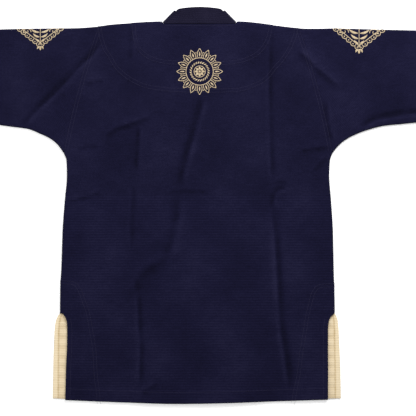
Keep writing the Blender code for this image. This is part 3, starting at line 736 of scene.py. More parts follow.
def tube(name, points, cut, wear_and_painted_shade, look):
    """A grid wrapped onto itself: its meeting rows and columns are merged."""
    bm = bmesh.new()
    # The number at each point paints shade into creases and lightens raised tops, partly as wear and partly
    # as painted highlight.
    shade = bm.verts.layers.float.new("wear_and_painted_shade")
    places = add_grid(bm, points)
    for vertex, place in zip(bm.verts, places):
        vertex[shade] = wear_and_painted_shade[place]
    lay_uv(bm, [cut[place] for place in places])
    bmesh.ops.remove_doubles(bm, verts=bm.verts, dist=1e-6)
    bmesh.ops.dissolve_degenerate(bm, edges=bm.edges, dist=1e-7)
    return finished(name, bm, look)


def soft_edge(count, first, last):
    """Share of the thickness that each row keeps, so that a free edge is rounded and not square."""
    keep = np.ones(count)
    if first:
        keep[:3] = (0.30, 0.75, 0.96)
    if last:
        keep[-3:] = (0.96, 0.75, 0.30)
    return keep


# %% [markdown]
# ## Navy cotton
# The cloth is a pearl weave: staggered rows of small raised grains, with plain cotton yarn between them.
# Below the waist it turns into fine cross ribs. Photographed at this size the grain is hardly wider than a
# pixel, so it is worked as bump and a slight change of tone, not as geometry. A brick pattern with soft
# mortar makes good staggered grains, and a sine makes the ribs. Noise in two sizes gives the uneven dye.
# The creases and edges carry their own number, which paints shade into the troughs and lightens the tops,
# partly as wear and partly as painted highlight.

# %% Node helpers
RIB_TOP_Y = 0.022
RIB_PITCH = 0.00555
GRAIN = (0.0032, 0.0021)


class Look:
    """A material with a Principled shader, and short ways to add nodes to it."""

    def __init__(self, name, colour, roughness, sheen):
        self.material = bpy.data.materials.new(name)
        self.material.use_nodes = True
        self.tree = self.material.node_tree
        self.shader = self.tree.nodes["Principled BSDF"]
        self.set(self.shader, "Base Color", (*colour, 1))
        self.set(self.shader, "Roughness", roughness)
        self.set(self.shader, "Specular IOR Level", 0.04)
        self.set(self.shader, "Sheen Weight", sheen)
        self.set(self.shader, "Sheen Roughness", 0.5)

    def set(self, node, socket, value):
        node.inputs[socket].default_value = value

    def add(self, kind, **inputs):
        node = self.tree.nodes.new(kind)
        for socket, value in inputs.items():
            self.feed(node, socket.replace("_", " "), value)
        return node

    def feed(self, node, socket, value):
        if isinstance(value, bpy.types.NodeSocket):
            self.tree.links.new(value, node.inputs[socket])
        else:
            node.inputs[socket].default_value = value

    def math(self, operation, a, b=0.0, c=0.0):
        node = self.tree.nodes.new("ShaderNodeMath")
        node.operation = operation
        for socket, value in enumerate((a, b, c)):
            self.feed(node, socket, value)
        return node.outputs[0]

    def ramp(self, value, low, high, to_low=0.0, to_high=1.0):
        node = self.add(
            "ShaderNodeMapRange", Value=value, From_Min=low, From_Max=high, To_Min=to_low, To_Max=to_high,
        )
        return node.outputs["Result"]

    def wave(self, value, length):
        """A smooth wave along a value, from 0 to 1."""
        return self.ramp(self.math("SINE", self.math("MULTIPLY", value, 2 * math.pi / length)), -1.0, 1.0)

    def cut(self):
        node = self.tree.nodes.new("ShaderNodeUVMap")
        node.uv_map = "cut"
        return node.outputs["UV"]

    def place(self):
        return self.tree.nodes.new("ShaderNodeTexCoord").outputs["Object"]

    def noise(self, vector, scale, detail=3.0):
        return self.add("ShaderNodeTexNoise", Vector=vector, Scale=scale, Detail=detail).outputs["Fac"]

    def stretched(self, vector, scale):
        node = self.tree.nodes.new("ShaderNodeVectorMath")
        node.operation = "MULTIPLY"
        self.feed(node, 0, vector)
        self.feed(node, 1, (*scale, 1.0))
        return node.outputs["Vector"]

    def total(self, *shares):
        """Weighted sum of several values."""
        result = 0.0
        for value, share in shares:
            result = self.math("MULTIPLY_ADD", value, share, result)
        return result

    def number(self, name):
        node = self.tree.nodes.new("ShaderNodeAttribute")
        node.attribute_name = name
        return node.outputs["Fac"]

    def colour(self, shade, stops):
        node = self.tree.nodes.new("ShaderNodeValToRGB")
        self.feed(node, "Fac", shade)
        while len(node.color_ramp.elements) < len(stops):
            node.color_ramp.elements.new(0.5)
        for element, (position, colour) in zip(node.color_ramp.elements, stops):
            element.position = position
            element.color = (*colour, 1)
        self.feed(self.shader, "Base Color", node.outputs["Color"])

    def bump(self, height, depth, strength=1.0):
        node = self.add("ShaderNodeBump", Height=height, Distance=depth, Strength=strength)
        self.feed(self.shader, "Normal", node.outputs["Normal"])


# %% The pearl-weave cloth
# The navy runs from a deep end, where dark yarn and the painted shade of creases fall, to a pale end, where
# pale yarn, wear and the painted highlight of raised tops fall.
NAVY_DEEP = (0.0022, 0.0020, 0.0080)
NAVY = (0.0062, 0.0058, 0.0218)
NAVY_PALE_WEAR_AND_PAINTED_HIGHLIGHT = (0.0150, 0.0142, 0.0400)


def navy_weave(name, ribbed):
    look = Look(name, NAVY, 0.9, 0.02)
    cut = look.cut()
    grain = look.tree.nodes.new("ShaderNodeTexBrick")
    for socket, value in (
        ("Vector", cut), ("Scale", 1.0), ("Mortar Size", GRAIN[1] * 0.48), ("Mortar Smooth", 1.0),
        ("Brick Width", GRAIN[0]), ("Row Height", GRAIN[1]),
    ):
        look.feed(grain, socket, value)
    pearls = look.math("SUBTRACT", 1.0, grain.outputs["Fac"])
    weave = pearls
    if ribbed:
        split = look.add("ShaderNodeSeparateXYZ", Vector=cut)
        wave = look.math("SINE", look.math("MULTIPLY", split.outputs["Y"], 2 * math.pi / RIB_PITCH))
        ribs = look.ramp(wave, -1.0, 1.0)
        ribbed_grain = look.total((ribs, 0.6), (pearls, 0.4))
        below = look.ramp(split.outputs["Y"], RIB_TOP_Y + 0.002, RIB_TOP_Y - 0.002)
        mixed = look.add("ShaderNodeMix", Factor=below)
        look.feed(mixed, 2, pearls)
        look.feed(mixed, 3, ribbed_grain)
        weave = mixed.outputs[0]
    yarn = look.noise(cut, 900.0, 2.0)
    weft = look.noise(look.stretched(cut, (0.12, 1.0)), 420.0, 2.0)
    specks = look.noise(cut, 260.0, 2.0)
    blotches = look.noise(cut, 55.0, 3.0)
    fading = look.noise(cut, 8.0, 2.0)
    # Besides the weave and the dye noise, the number at each point darkens crease troughs as painted shade
    # and lightens lips and tops, partly as wear and partly as painted highlight.
    shade = look.total(
        (weave, 0.20), (yarn, 0.16), (weft, 0.34), (specks, 0.44), (blotches, 0.16), (fading, 0.07),
        (look.number("wear_and_painted_shade"), 0.62),
    )
    look.colour(look.ramp(shade, 0.48, 1.48), ((0.0, NAVY_DEEP), (0.5, NAVY), (1.0, NAVY_PALE_WEAR_AND_PAINTED_HIGHLIGHT)))
    relief = look.total((weave, 1.0), (yarn, 0.35))
    look.bump(relief, 0.00045, 0.85)
    return look.material


body_cloth = navy_weave("navy_pearl_and_rib_weave", ribbed=True)
sleeve_cloth = navy_weave("navy_pearl_weave", ribbed=False)

# %% [markdown]
# ## The collar band's cloth
# The band is a strip of foam or folded canvas, covered in a fine twill and quilted with rows of stitches
# along its whole length. Its twill is a diagonal line pattern that is finer than the body's weave, and the
# cover is a little redder than the body, because it is dyed on another cloth.

# %% Twill of the collar band
def band_twill():
    look = Look("navy_collar_twill", (0.0110, 0.0092, 0.0220), 0.85, 0.03)
    cut = look.cut()
    split = look.add("ShaderNodeSeparateXYZ", Vector=cut)
    slanted = look.math("ADD", split.outputs["X"], split.outputs["Y"])
    lines = look.ramp(look.math("SINE", look.math("MULTIPLY", slanted, 2 * math.pi / 0.0016)), -1.0, 1.0)
    blotches = look.noise(cut, 30.0, 4.0)
    # The number at each point darkens the quilting channels and the band's rounded edges as painted shade.
    shade = look.total((lines, 0.20), (blotches, 0.40), (look.number("wear_and_painted_shade"), 0.55))
    look.colour(
        look.ramp(shade, 0.30, 1.0),
        ((0.0, (0.0025, 0.0021, 0.0070)), (0.5, (0.0072, 0.0062, 0.0178)), (1.0, (0.0160, 0.0142, 0.0310))),
    )
    look.bump(lines, 0.00025, 0.8)
    return look.material


collar_cloth = band_twill()

# %% [markdown]
# ## The beige tape of the slits
# Strong herringbone tape is sewn on the inside of each front's slit edge. It shows crosswise ribs, a yellower
# tone painted into its hollows and along its sewn fold as shade, and paler tops, partly wear and partly
# painted highlight.

# %% Ribbed tape
TAPE_RIB = 0.0052
TAPE_THREAD = 0.0012


def ribbed_tape():
    look = Look("beige_ribbed_tape", (0.58, 0.46, 0.30), 0.85, 0.05)
    cut = look.cut()
    split = look.add("ShaderNodeSeparateXYZ", Vector=cut)
    ribs = look.wave(split.outputs["Y"], TAPE_RIB)
    threads = look.wave(split.outputs["X"], TAPE_THREAD)
    blotches = look.noise(cut, 60.0, 4.0)
    # The number at each point darkens the sewn fold as painted shade and lightens the puffs' tops as painted
    # highlight.
    shade = look.total((ribs, 0.10), (threads, 0.06), (blotches, 0.35), (look.number("wear_and_painted_shade"), 0.55))
    look.colour(
        look.ramp(shade, 0.20, 0.95),
        ((0.0, (0.44, 0.33, 0.17)), (0.45, (0.66, 0.54, 0.36)), (1.0, (0.80, 0.69, 0.49))),
    )
    look.bump(look.total((ribs, 1.0), (threads, 0.3)), 0.00022, 0.8)
    return look.material


facing_tape = ribbed_tape()

# %% [markdown]
# ## The back
# The back is one piece, from the shoulders to the hem. Its columns and rows lie close together at the free
# edges, where the thickness shrinks to a rounded, turned edge, and its outer face also carries the steps of
# the second layers, which the inner face doesn't have.

# %% Columns and rows of a body panel
ROLL_ROWS = 6
Columns = namedtuple("Columns", "share left right")


def columns_of(shares, rolls_left, rolls_right):
    """Share across and turn at each side, for each column."""
    turns = QUARTER * np.arange(ROLL_ROWS, 0, -1) / ROLL_ROWS
    before = turns if rolls_left else turns[:0]
    after = turns[::-1] if rolls_right else turns[:0]
    share = np.concatenate([np.full(len(before), shares[0]), shares, np.full(len(after), shares[-1])])
    left = np.concatenate([before, np.zeros(len(shares) + len(after))])
    right = np.concatenate([np.zeros(len(before) + len(shares)), after])
    return Columns(share, left, right)


def levels(upper, lower, skirt):
    """Row heights from the shoulder down to the hem, with close rows at the slit's top and at the hem."""
    return spread(
        (
            (LEVEL_TOP, ARMPIT_Y + PIT_ROW, upper),
            (ARMPIT_Y + PIT_ROW, ARMPIT_Y, 3),
            (ARMPIT_Y, SLIT_TOP_Y, lower),
            (SLIT_TOP_Y, SLIT_OPEN_Y, 6),
            (SLIT_OPEN_Y, HEM_Y + 0.002, skirt),
            (HEM_Y + 0.002, HEM_Y, 3),
        )
    )


def panel_grid(sheet, columns, rows):
    """The panel's points at every column and row, with the rolled rows of its top edge first."""
    top_angles = np.concatenate([QUARTER * np.arange(ROLL_ROWS, 0, -1) / ROLL_ROWS, np.zeros(len(rows))])
    row_levels = np.concatenate([np.full(ROLL_ROWS, rows[0]), rows])
    shape = (len(row_levels), len(columns.share))
    across = [np.broadcast_to(values, shape) for values in columns]
    down = [np.broadcast_to(values[:, None], shape) for values in (row_levels, top_angles)]
    return panel_points(sheet, across[0], across[1], across[2], down[0], down[1])


# %% The back piece
TIPS = [ARMHOLES[side].tip_x for side in ("left", "right")]


def back_top(x):
    """Shoulder edge, or the neck seam between the two ends of the collar band."""
    seam = NECK_SEAM_Y + NECK_SEAM_RISE * (x / NECK_HALF) ** 2 + NECK_TUCK
    corner = seam + np.clip(np.abs(x) - NECK_CORNER_X, 0, None) * 1.02
    return np.minimum(read(SHOULDERS, "y", x), corner)


back_sheet = Sheet(
    left=side_x("back", "left"),
    right=side_x("back", "right"),
    rolls_left=True,
    rolls_right=True,
    top=back_top,
    roll_top=lambda x: ease((np.abs(x) - NECK_HALF + NECK_ROLL_RUN / 4) / NECK_ROLL_RUN),
    hem=lambda x: read(HEM, "y", x),
    turn=-1,
    height=back_height,
)


def make_back():
    ends = (NECK_HALF + 0.0035, NECK_CORNER_X)
    marks = [(x - TIPS[0]) / (TIPS[1] - TIPS[0]) for x in (-ends[0], -ends[1], ends[1], ends[0])]
    shares = spread(
        ((0, marks[0], 54), (marks[0], marks[1], 7), (marks[1], marks[2], 48), (marks[2], marks[3], 7),
         (marks[3], 1, 54))
    )
    columns = columns_of(shares, True, True)
    middle, out, cut = panel_grid(back_sheet, columns, levels(80, 98, 54))
    x, y = middle[..., 0], middle[..., 1]
    keep = soft_edge(middle.shape[0], False, True)[:, None, None] * np.ones(middle.shape)
    relief = doubled_cloth(cut[..., 0], cut[..., 1])
    outer = middle + out * (CLOTH / 2 * keep + relief[..., None] * keep)
    inner = middle - out * (CLOTH / 2 * keep)
    crease = upper_relief(x, y, np.ones(x.shape)) - folds_at(x, y)
    # Painted shade: the cloth is darker in crease troughs, and lighter on lips and wave tops, partly as wear
    # and partly as painted highlight.
    wear_and_painted_shade = np.clip(0.5 + crease / 0.0040, 0, 1)
    return wall("back_cloth", outer, inner, cut, wear_and_painted_shade, body_cloth)


back_cloth = make_back()

# %% [markdown]
# ## The fronts
# The left front lies on the floor and the right front lies over it, as they do on a fastened jacket that is
# laid face down. Their undersides rest flat, so their creases only rise from the floor.

# %% Left and right front
def front_sheet(side):
    sign = -1 if side == "left" else 1
    hidden = side == "left"

    def seam(y):
        """Edge that the collar band is sewn to."""
        past = np.maximum(y - BAND_END[1], 0.0)
        return sign * (-lapel_seam_x(y) + SEAM_GAP + past * NECK_CORNER_SLANT)

    def height(x, y):
        bed = 0.0 if hidden else bed_of_right(x, y)
        return FRONT_MID + bed + hidden_creases_at(x, y)

    outer = side_x("front", side)
    return Sheet(
        left=outer if hidden else seam,
        right=seam if hidden else outer,
        rolls_left=hidden,
        rolls_right=not hidden,
        top=lambda x: np.minimum(read(SHOULDERS, "y", x), NECK_CORNER_Y),
        roll_top=lambda x: np.ones(np.shape(x)),
        hem=lambda x: read(HEM, "y", x) + FRONT_HEM_INSET,
        turn=1,
        height=height,
    )


def make_front(side):
    sheet = front_sheet(side)
    columns = columns_of(np.linspace(0, 1, 88), side == "left", side == "right")
    middle, out, cut = panel_grid(sheet, columns, levels(70, 86, 48))
    keep = soft_edge(middle.shape[0], False, True)[:, None, None] * np.ones(middle.shape)
    above_hem = (cut[..., 1] - sheet.hem(cut[..., 0]))[..., None]
    inside = HEM_STEP * ease((HEM_DEPTH - above_hem) / STEP_RUN + 0.5)
    outer = middle + out * (CLOTH / 2 * keep)
    inner = middle - out * (CLOTH / 2 * keep + inside * keep * 0.5)
    crease = hidden_creases_at(middle[..., 0], middle[..., 1])
    # Painted shade: the front is darker along the creases of the lower cloth.
    wear_and_painted_shade = np.clip(0.52 - crease / 0.0040, 0, 1)
    return wall(f"{side}_front_cloth", outer, inner, cut, wear_and_painted_shade, body_cloth)


fronts = {side: make_front(side) for side in ("left", "right")}

# %% [markdown]
# ## The sleeves
# A sleeve is a tube, laid flat. Its ring goes across the top, half round the lower fold, back along the floor
# and half round the upper fold. One grid makes the outer face, turns in at the cuff and comes back as the
# inner face, so the wall is closed. The upper face has the creases, and the lower one rests on the floor.

# %% Ring and surface of a sleeve
Ring = namedtuple("Ring", "share bulge rise")
SLEEVE_LENGTH = 0.600


def sleeve_ring(top_steps, end_steps, floor_steps):
    """Share across, outward bulge and rise of each place on the flattened ring."""
    turn = np.linspace(0, math.pi, end_steps + 1)[1:]
    top = np.linspace(0, 1, top_steps + 1)
    floor = np.linspace(1, 0, floor_steps + 1)[1:]
    share = np.concatenate([top, np.ones(end_steps), floor, np.zeros(end_steps)])
    bulge = np.concatenate([0 * top, np.sin(turn), 0 * floor, -np.sin(turn)])
    rise = np.concatenate([0 * top + 1, np.cos(turn), 0 * floor - 1, -np.cos(turn)])
    return Ring(share, bulge, rise)


def sleeve_surface(side, out, ring, offset):
    """Points of the sleeve at a distance along it, moved out from the middle of the cloth."""
    table = SLEEVES[side]
    hole = ARMHOLES[side]
    top_x, top_y = read(table, "top_x", out), read(table, "top_y", out)
    under_x, under_y = read(table, "under_x", out), read(table, "under_y", out)
    length = np.hypot(under_x - top_x, under_y - top_y)
    radius = ROLL_RADIUS + offset
    q = OUTER_RADIUS + ring.share * (length - 2 * OUTER_RADIUS) + ring.bulge * radius
    share = q / length
    fade = 1 - ease(out / 0.08)
    bow = hole.bulge * 4 * share * (1 - share) * fade
    x = blend(top_x, under_x, share) + math.copysign(ARMHOLE_GAP / 2, hole.tip_x) + bow
    y = blend(top_y, under_y, share)
    above = ease(ring.rise)
    upper = upper_relief(x, y, np.ones(x.shape)) * above
    lower = hidden_creases_at(x, y) * ease(-ring.rise)
    z = SIDE_SEAM_MID + radius * ring.rise + upper + lower
    return np.stack([x, y, z], -1), upper - folds_at(x, y) * above


def make_sleeve(side):
    ring = sleeve_ring(66, 10, 60)
    outs = spread(((0.0, SLEEVE_LENGTH - 0.003, 176), (SLEEVE_LENGTH - 0.003, SLEEVE_LENGTH, 3)))
    shape = (len(outs), len(ring.share))
    along = np.broadcast_to(outs[:, None], shape)
    rings = Ring(*[np.broadcast_to(values, shape) for values in ring])
    keep = soft_edge(len(outs), False, True)[:, None]
    cuff = HEM_STEP * ease((CUFF_DEPTH - (SLEEVE_LENGTH - along)) / STEP_RUN + 0.5) * ease(rings.rise)
    outer, crease = sleeve_surface(side, along, rings, CLOTH / 2 * keep)
    inner = sleeve_surface(side, along, rings, -CLOTH / 2 * keep)[0]
    outer[..., 2] += cuff * keep
    around = np.concatenate([[0], np.cumsum(np.linalg.norm(np.diff(outer[60], axis=0), axis=1))])
    cut = np.stack([outer[..., 0], np.broadcast_to(around, shape)], -1)
    # Painted shade: the sleeve is darker in crease troughs, and lighter on lips and wave tops, partly as wear
    # and partly as painted highlight.
    wear_and_painted_shade = np.clip(0.5 + crease / 0.0040, 0, 1)
    rows = np.concatenate([outer, inner[::-1], outer[:1]])
    cuts = np.concatenate([cut, cut[::-1], cut[:1]])
    wear_and_shade_rows = np.concatenate([wear_and_painted_shade, wear_and_painted_shade[::-1], wear_and_painted_shade[:1]])
    return tube(f"{side}_sleeve_cloth", rows, cuts, wear_and_shade_rows, sleeve_cloth)


sleeves = {side: make_sleeve(side) for side in ("left", "right")}

# %% [markdown]
# ## The collar band
# The band is one strip, almost two metres long. It goes up the right front, folds over beside the neck, runs
# round the back of the neck, and goes down the left front. Its cross-section is a flat oval that is pulled in
# at each quilting row. The oval is carried along the stations of the strip, as a loft would do it, on one
# wrapped grid.

# %% Cross-section of the band
QUILT_ROWS = 7
QUILT_DIP = 0.20
QUILT_WIDTH = 0.0011


def quilt_places(width):
    """Distances of the quilting rows from the seam edge."""
    return [width * (k + 1) / (QUILT_ROWS + 1) for k in range(QUILT_ROWS)]


def band_ring(width):
    """Distance from the seam edge and thickness share for each place round the band."""
    radius = BAND / 2
    turn = np.linspace(0, QUARTER, 5)
    inner = np.linspace(radius, width - radius, 32)[1:-1]
    across = np.concatenate([radius * (1 - np.cos(turn)), inner, width - radius * (1 - np.cos(turn[::-1]))])
    full = np.concatenate([np.sin(turn), np.ones(len(inner)), np.sin(turn[::-1])])
    for place in quilt_places(width):
        full = full - QUILT_DIP * np.exp(-(((across - place) / QUILT_WIDTH) ** 2))
    full[0] = full[-1] = 0
    over, under = across, across[::-1][1:]
    return np.concatenate([over, under]), np.concatenate([full, -full[::-1][1:]])


# %% Stations along the band
def lapel_station(sign, y):
    """Cross line of a lapel: seam edge, free edge, and the outside of the band, which faces the floor."""
    slope = float(lapel_seam_x(y + 0.008) - lapel_seam_x(y - 0.008)) / 0.016
    across = Vector((1, slope)).normalized()
    below_neck = BAND_END[1] - y
    seam = Vector((float(lapel_seam_x(y)), y))
    slanted = Vector((-BAND_CORNER[0] - BAND_LEAN * below_neck, BAND_CORNER[1] - below_neck))
    free = slanted.lerp(seam + across * LAPEL_WIDTH, float(ease(below_neck / BAND_STRAIGHTEN_RUN)))
    if y < BAND_SQUARE_Y:
        free.y = y
    points = [Vector((-sign * p.x, p.y)) for p in (seam, free)]
    beds = [float(bed_of_right(*p)) if sign > 0 else 0.0 for p in points]
    ends = [Vector((*p, BAND_LOW_MID + bed)) for p, bed in zip(points, beds)]
    return (*ends, Vector((0, 0, -1)))


def fold_stations(sign, steps):
    """Half turn of the band beside the neck, from the lapel up to the back of the neck."""
    start, tip = (Vector((sign * x, y, BAND_LOW_MID + BAND_FOLD_RADIUS)) for x, y in (BAND_END, BAND_CORNER))
    away = Vector((sign * (tip - start).y, abs(tip.x - start.x), 0)).normalized()
    stations = []
    for k in range(steps + 1):
        angle = math.pi * (1 - k / steps)
        outward = away * math.sin(angle) + Vector((0, 0, math.cos(angle)))
        pulled = tip + (start - tip).normalized() * (BAND_CORNER_PULL * math.sin(angle))
        stations.append((start + outward * BAND_FOLD_RADIUS, pulled + outward * BAND_FOLD_RADIUS, outward))
    return stations


def neck_station(t):
    """Cross line at the back of the neck, with t from -1 at the left fold to 1 at the right one."""
    arch = (0.5 * (1 - t * t) + 0.5 * (1 - t**24)) * (BAND_TOP_Y - BAND_CORNER[1])
    dip = (1 - t * t) * (NECK_SEAM_Y - BAND_END[1])
    seam = Vector((t * BAND_END[0], BAND_END[1] + dip, BAND_HIGH_MID))
    free = Vector((t * BAND_CORNER[0], BAND_CORNER[1] + arch, BAND_HIGH_MID))
    return seam, free, Vector((0, 0, 1))


def band_stations():
    ys = spread(((BAND_HEM_Y, -0.10, 70), (-0.10, 0.30, 110), (0.30, BAND_END[1] - 0.004, 26)))
    stations = [lapel_station(1, y) for y in ys] + fold_stations(1, 16)
    stations += [neck_station(1 - 2 * k / 60) for k in range(1, 60)]
    return stations + fold_stations(-1, 16)[::-1] + [lapel_station(-1, y) for y in reversed(ys)]


# %% The band piece
STATIONS = band_stations()
MIDDLES = [(seam + free) / 2 for seam, free, _ in STATIONS]
RUNS = np.concatenate([[0], np.cumsum([(b - a).length for a, b in zip(MIDDLES, MIDDLES[1:])])])


def make_collar():
    rows, cuts, wear_and_shade_rows = [], [], []
    for run, (seam, free, outward) in zip(RUNS, STATIONS):
        width = (free - seam).length
        across, full = band_ring(width)
        direction = np.array((free - seam) / width)
        points = np.array(seam) + across[:, None] * direction + (full * BAND / 2)[:, None] * np.array(outward)
        rows.append(points)
        cuts.append(np.stack([np.full(across.shape, run), across], -1))
        # Painted shade: darker in the quilting channels and round the band's rounded edges, lighter on the
        # flat tops.
        wear_and_shade_rows.append(np.clip(0.35 + 0.35 * (np.abs(full) - 0.8) / 0.2, 0.1, 0.7))
    closed = [0.5 * (row + row[::-1]) for row in (rows[0], rows[-1])]
    rows = np.array([closed[0], *rows, closed[1]])
    cuts = np.array([cuts[0], *cuts, cuts[-1]])
    wear_and_shade_rows = np.array([wear_and_shade_rows[0], *wear_and_shade_rows, wear_and_shade_rows[-1]])
    print("collar band length, m:", round(RUNS[-1], 3))
    return tube("collar_band", rows, cuts, wear_and_shade_rows, collar_cloth)


collar_band = make_collar()

# %% [markdown]
# ## The slit tapes
# Each tape lies on the inside of its front's slit edge, up to the slit's top, and is turned over that edge,
# so no navy shows outside it. It is made from the front's own surface, moved in by half the cloth and half
# the tape, so it bends with the front where the edge starts to roll. A sewn fold runs along it, which drifts
# in from the outer edge on the way down.

# %% Tape beside a slit
TAPE_TIP_Y = -0.2280
TAPE_HEM_Y = -0.4092
TAPE_TIP_ROUND = 0.0035
TAPE_FOLD_TOP = 0.0050
TAPE_FOLD_LOW = 0.0100
TAPE_FOLD_DIP = 0.00050
# Profile of the turned edge: how far past the front's edge, and how far to its outside, for both faces
TAPE_TURN = (
    ((0.00110, 0.0004), (0.00130, -0.0006), (0.00115, -0.0016), (0.00070, -0.0023)),
    ((0.00030, 0.0004), (0.00030, -0.0004), (0.00028, -0.0009), (0.00020, -0.0012)),
)


def level_of(sheet, side, y):
    """Grid level of the skirt at a height y, next to the panel's slit edge."""
    hem_y = float(sheet.hem(side(np.array(HEM_Y))))
    stretch = (SLIT_OPEN_Y - HEM_Y) / (SLIT_OPEN_Y - hem_y)
    return SLIT_OPEN_Y + np.clip(y - SLIT_OPEN_Y, 0, None) - stretch * np.clip(SLIT_OPEN_Y - y, 0, None)


def make_tape(side):
    sheet = front_sheet(side)
    left = side == "left"
    ys = spread(((TAPE_TIP_Y, TAPE_TIP_Y - 0.004, 8), (TAPE_TIP_Y - 0.004, TAPE_HEM_Y, 96)))
    gone = np.clip((ys - (TAPE_TIP_Y - TAPE_TIP_ROUND)) / TAPE_TIP_ROUND, 0, 1)
    cut_in = TAPE_TIP_ROUND * (1 - np.sqrt(1 - gone**2))
    shares = spread(((0, 0.05, 3), (0.05, 0.95, 34), (0.95, 1, 3)))
    from_edge = cut_in[:, None] + (FACING_WIDTH - cut_in[:, None]) * shares
    own_side = sheet.left if left else sheet.right
    level = np.broadcast_to(level_of(sheet, own_side, ys)[:, None], from_edge.shape)
    still = np.zeros(from_edge.shape)
    x_l, inset_l, _, _ = side_of(sheet, sheet.left, sheet.rolls_left, level, still)
    x_r, inset_r, _, _ = side_of(sheet, sheet.right, sheet.rolls_right, level, still)
    rolled = ROLL_RADIUS * QUARTER
    angle = np.clip((rolled - from_edge) / ROLL_RADIUS, 0, QUARTER)
    across = np.clip(from_edge - rolled, 0, None) / (x_r - inset_r - x_l - inset_l)
    if left:
        middle, out, _ = panel_points(sheet, across, angle, still, level, still)
    else:
        middle, out, _ = panel_points(sheet, 1 - across, still, angle, level, still)
    keep = (soft_edge(len(ys), True, True)[:, None] * soft_edge(len(shares), False, True))[..., None]
    way_down = (TAPE_TIP_Y - ys[:, None]) / (TAPE_TIP_Y - TAPE_HEM_Y)
    fold_at = blend(TAPE_FOLD_TOP, TAPE_FOLD_LOW, np.sqrt(way_down))
    fold = TAPE_FOLD_DIP * np.exp(-(((from_edge - fold_at) / 0.0014) ** 2))
    tuck = 0.0004 * np.exp(-(((ys[:, None] - TAPE_TIP_Y + 0.016) / 0.0013) ** 2)) * left
    fold = fold + tuck * ease((from_edge - fold_at) / 0.002)
    puff = 0.00022 * np.sin(2 * math.pi * ys[:, None] / 0.021) * ease((from_edge - fold_at) / 0.004)
    lower_face = CLOTH / 2 + SEAM_GAP
    faces = [
        middle - out * (lower_face + TAPE * keep - (fold - puff)[..., None] * keep),
        middle - out * lower_face,
    ]
    edge, side_out = middle[:, :1], out[:, :1]
    past = np.stack([side_out[..., 2], 0 * side_out[..., 0], -side_out[..., 0]], -1) * (1 if left else -1)
    turned = []
    for face, profile in zip(faces, TAPE_TURN):
        turn = [edge + past * reach + side_out * lift for reach, lift in profile]
        turned.append(np.concatenate([*turn, face], axis=1))
    cut = np.stack([from_edge, np.broadcast_to(ys[:, None], from_edge.shape)], -1)
    cut = np.concatenate([cut[:, :1] - [[(0.0035 - 0.0009 * k, 0)]] for k in range(4)] + [cut], axis=1)
    # Painted light and shade: darker in the sewn fold's dip, and lighter and darker across the puffs. The
    # tape is also lighter on its outer strip and on its inner part.
    wear_and_painted_shade = np.clip(0.5 - fold / 0.0008 + puff / 0.0020, 0, 1)
    outer_strip = 0.22 * ease((fold_at - from_edge) / 0.002 + 0.5)
    wear_and_painted_shade = wear_and_painted_shade + outer_strip + 0.12 * ease((from_edge - 0.020) / 0.006)
    wear_and_painted_shade = np.concatenate([np.repeat(wear_and_painted_shade[:, :1], 4, axis=1), wear_and_painted_shade], axis=1)
    return wall(f"{side}_slit_tape", turned[0], turned[1], cut, wear_and_painted_shade, facing_tape)


tapes = {side: make_tape(side) for side in ("left", "right")}

# %% [markdown]
# ## Sewing
# A sewing machine leaves a row of short stitches, each of which rises from one needle hole and dips into the
# next. A row is one thin tube here, which goes up and down through the face of the cloth, so only its raised
# parts show. The thread runs on the face of its own piece, and each face is a function from a place of the
# flat cut to a point in space. The double rows follow the lines of the second layers.

# %% Faces to sew on
def on_back(u, v, above):
    """Point above the outer face of the back, at a place of its flat cut."""
    roll_s = side_roll(v)
    x_l = back_sheet.left(v) + rolled_in(roll_s)
    x_r = back_sheet.right(v) - rolled_in(roll_s)
    x = np.clip(u, x_l, x_r)
    roll_t = back_sheet.roll_top(x)
    y = np.minimum(v, back_top(x) - rolled_in(roll_t))
    angles = [np.clip(past / ROLL_RADIUS, 0, QUARTER) for past in (x - u, u - x, v - y)]
    places, out = roll_over(back_sheet, x, y, (roll_s, roll_s, roll_t), angles)
    return places + out * (CLOTH / 2 + doubled_cloth(u, v) + above)[..., None]


def on_sleeve(side):
    """Face of a sleeve's top: a distance along the sleeve, and a distance from its upper fold."""
    def face(out, across, above):
        table = SLEEVES[side]
        span = np.hypot(
            read(table, "under_x", out) - read(table, "top_x", out),
            read(table, "under_y", out) - read(table, "top_y", out),
        ) - 2 * OUTER_RADIUS
        round_fold = OUTER_RADIUS * QUARTER
        beyond = (across - round_fold - span) / OUTER_RADIUS
        turn = np.clip(across / OUTER_RADIUS, 0, QUARTER) + np.clip(beyond, 0, QUARTER)
        share = np.clip((across - round_fold) / span, 0, 1)
        ring = Ring(share, -np.cos(turn), np.sin(turn))
        surface, _ = sleeve_surface(side, out, ring, CLOTH / 2 + above)
        return surface + [0, 0, 1] * (HEM_STEP * ring.rise)[..., None]

    return face


def on_band(run, across, above):
    """Outer face of the collar band, at the bottom of its quilting dips."""
    seam, free, outward = (
        np.stack([np.interp(run, RUNS, [station[part][k] for station in STATIONS]) for k in range(3)], -1)
        for part in range(3)
    )
    direction = (free - seam) / np.linalg.norm(free - seam, axis=-1, keepdims=True)
    return seam + direction * across[..., None] + outward * (BAND / 2 * (1 - QUILT_DIP) + above)[..., None]


def on_tape(side):
    """Upper face of a slit tape: a distance from its outer edge, and a height on the jacket."""
    sheet = front_sheet(side)
    sign = -1 if side == "left" else 1

    def face(inward, y, above):
        x = sheet.left(y) + inward if side == "left" else sheet.right(y) - inward
        z = sheet.height(x, y) + CLOTH / 2 + SEAM_GAP + TAPE + above
        return np.stack([x, y, z], -1)

    return face


# %% One row of stitches
STITCH = 0.0035
THREAD_RADIUS = 0.00024
STITCH_MARKS = (0.0, 0.16, 0.50, 0.84)
STITCH_HEIGHTS = (-0.00030, 0.00014, 0.00022, 0.00014)
Strand = namedtuple("Strand", "rings cut")


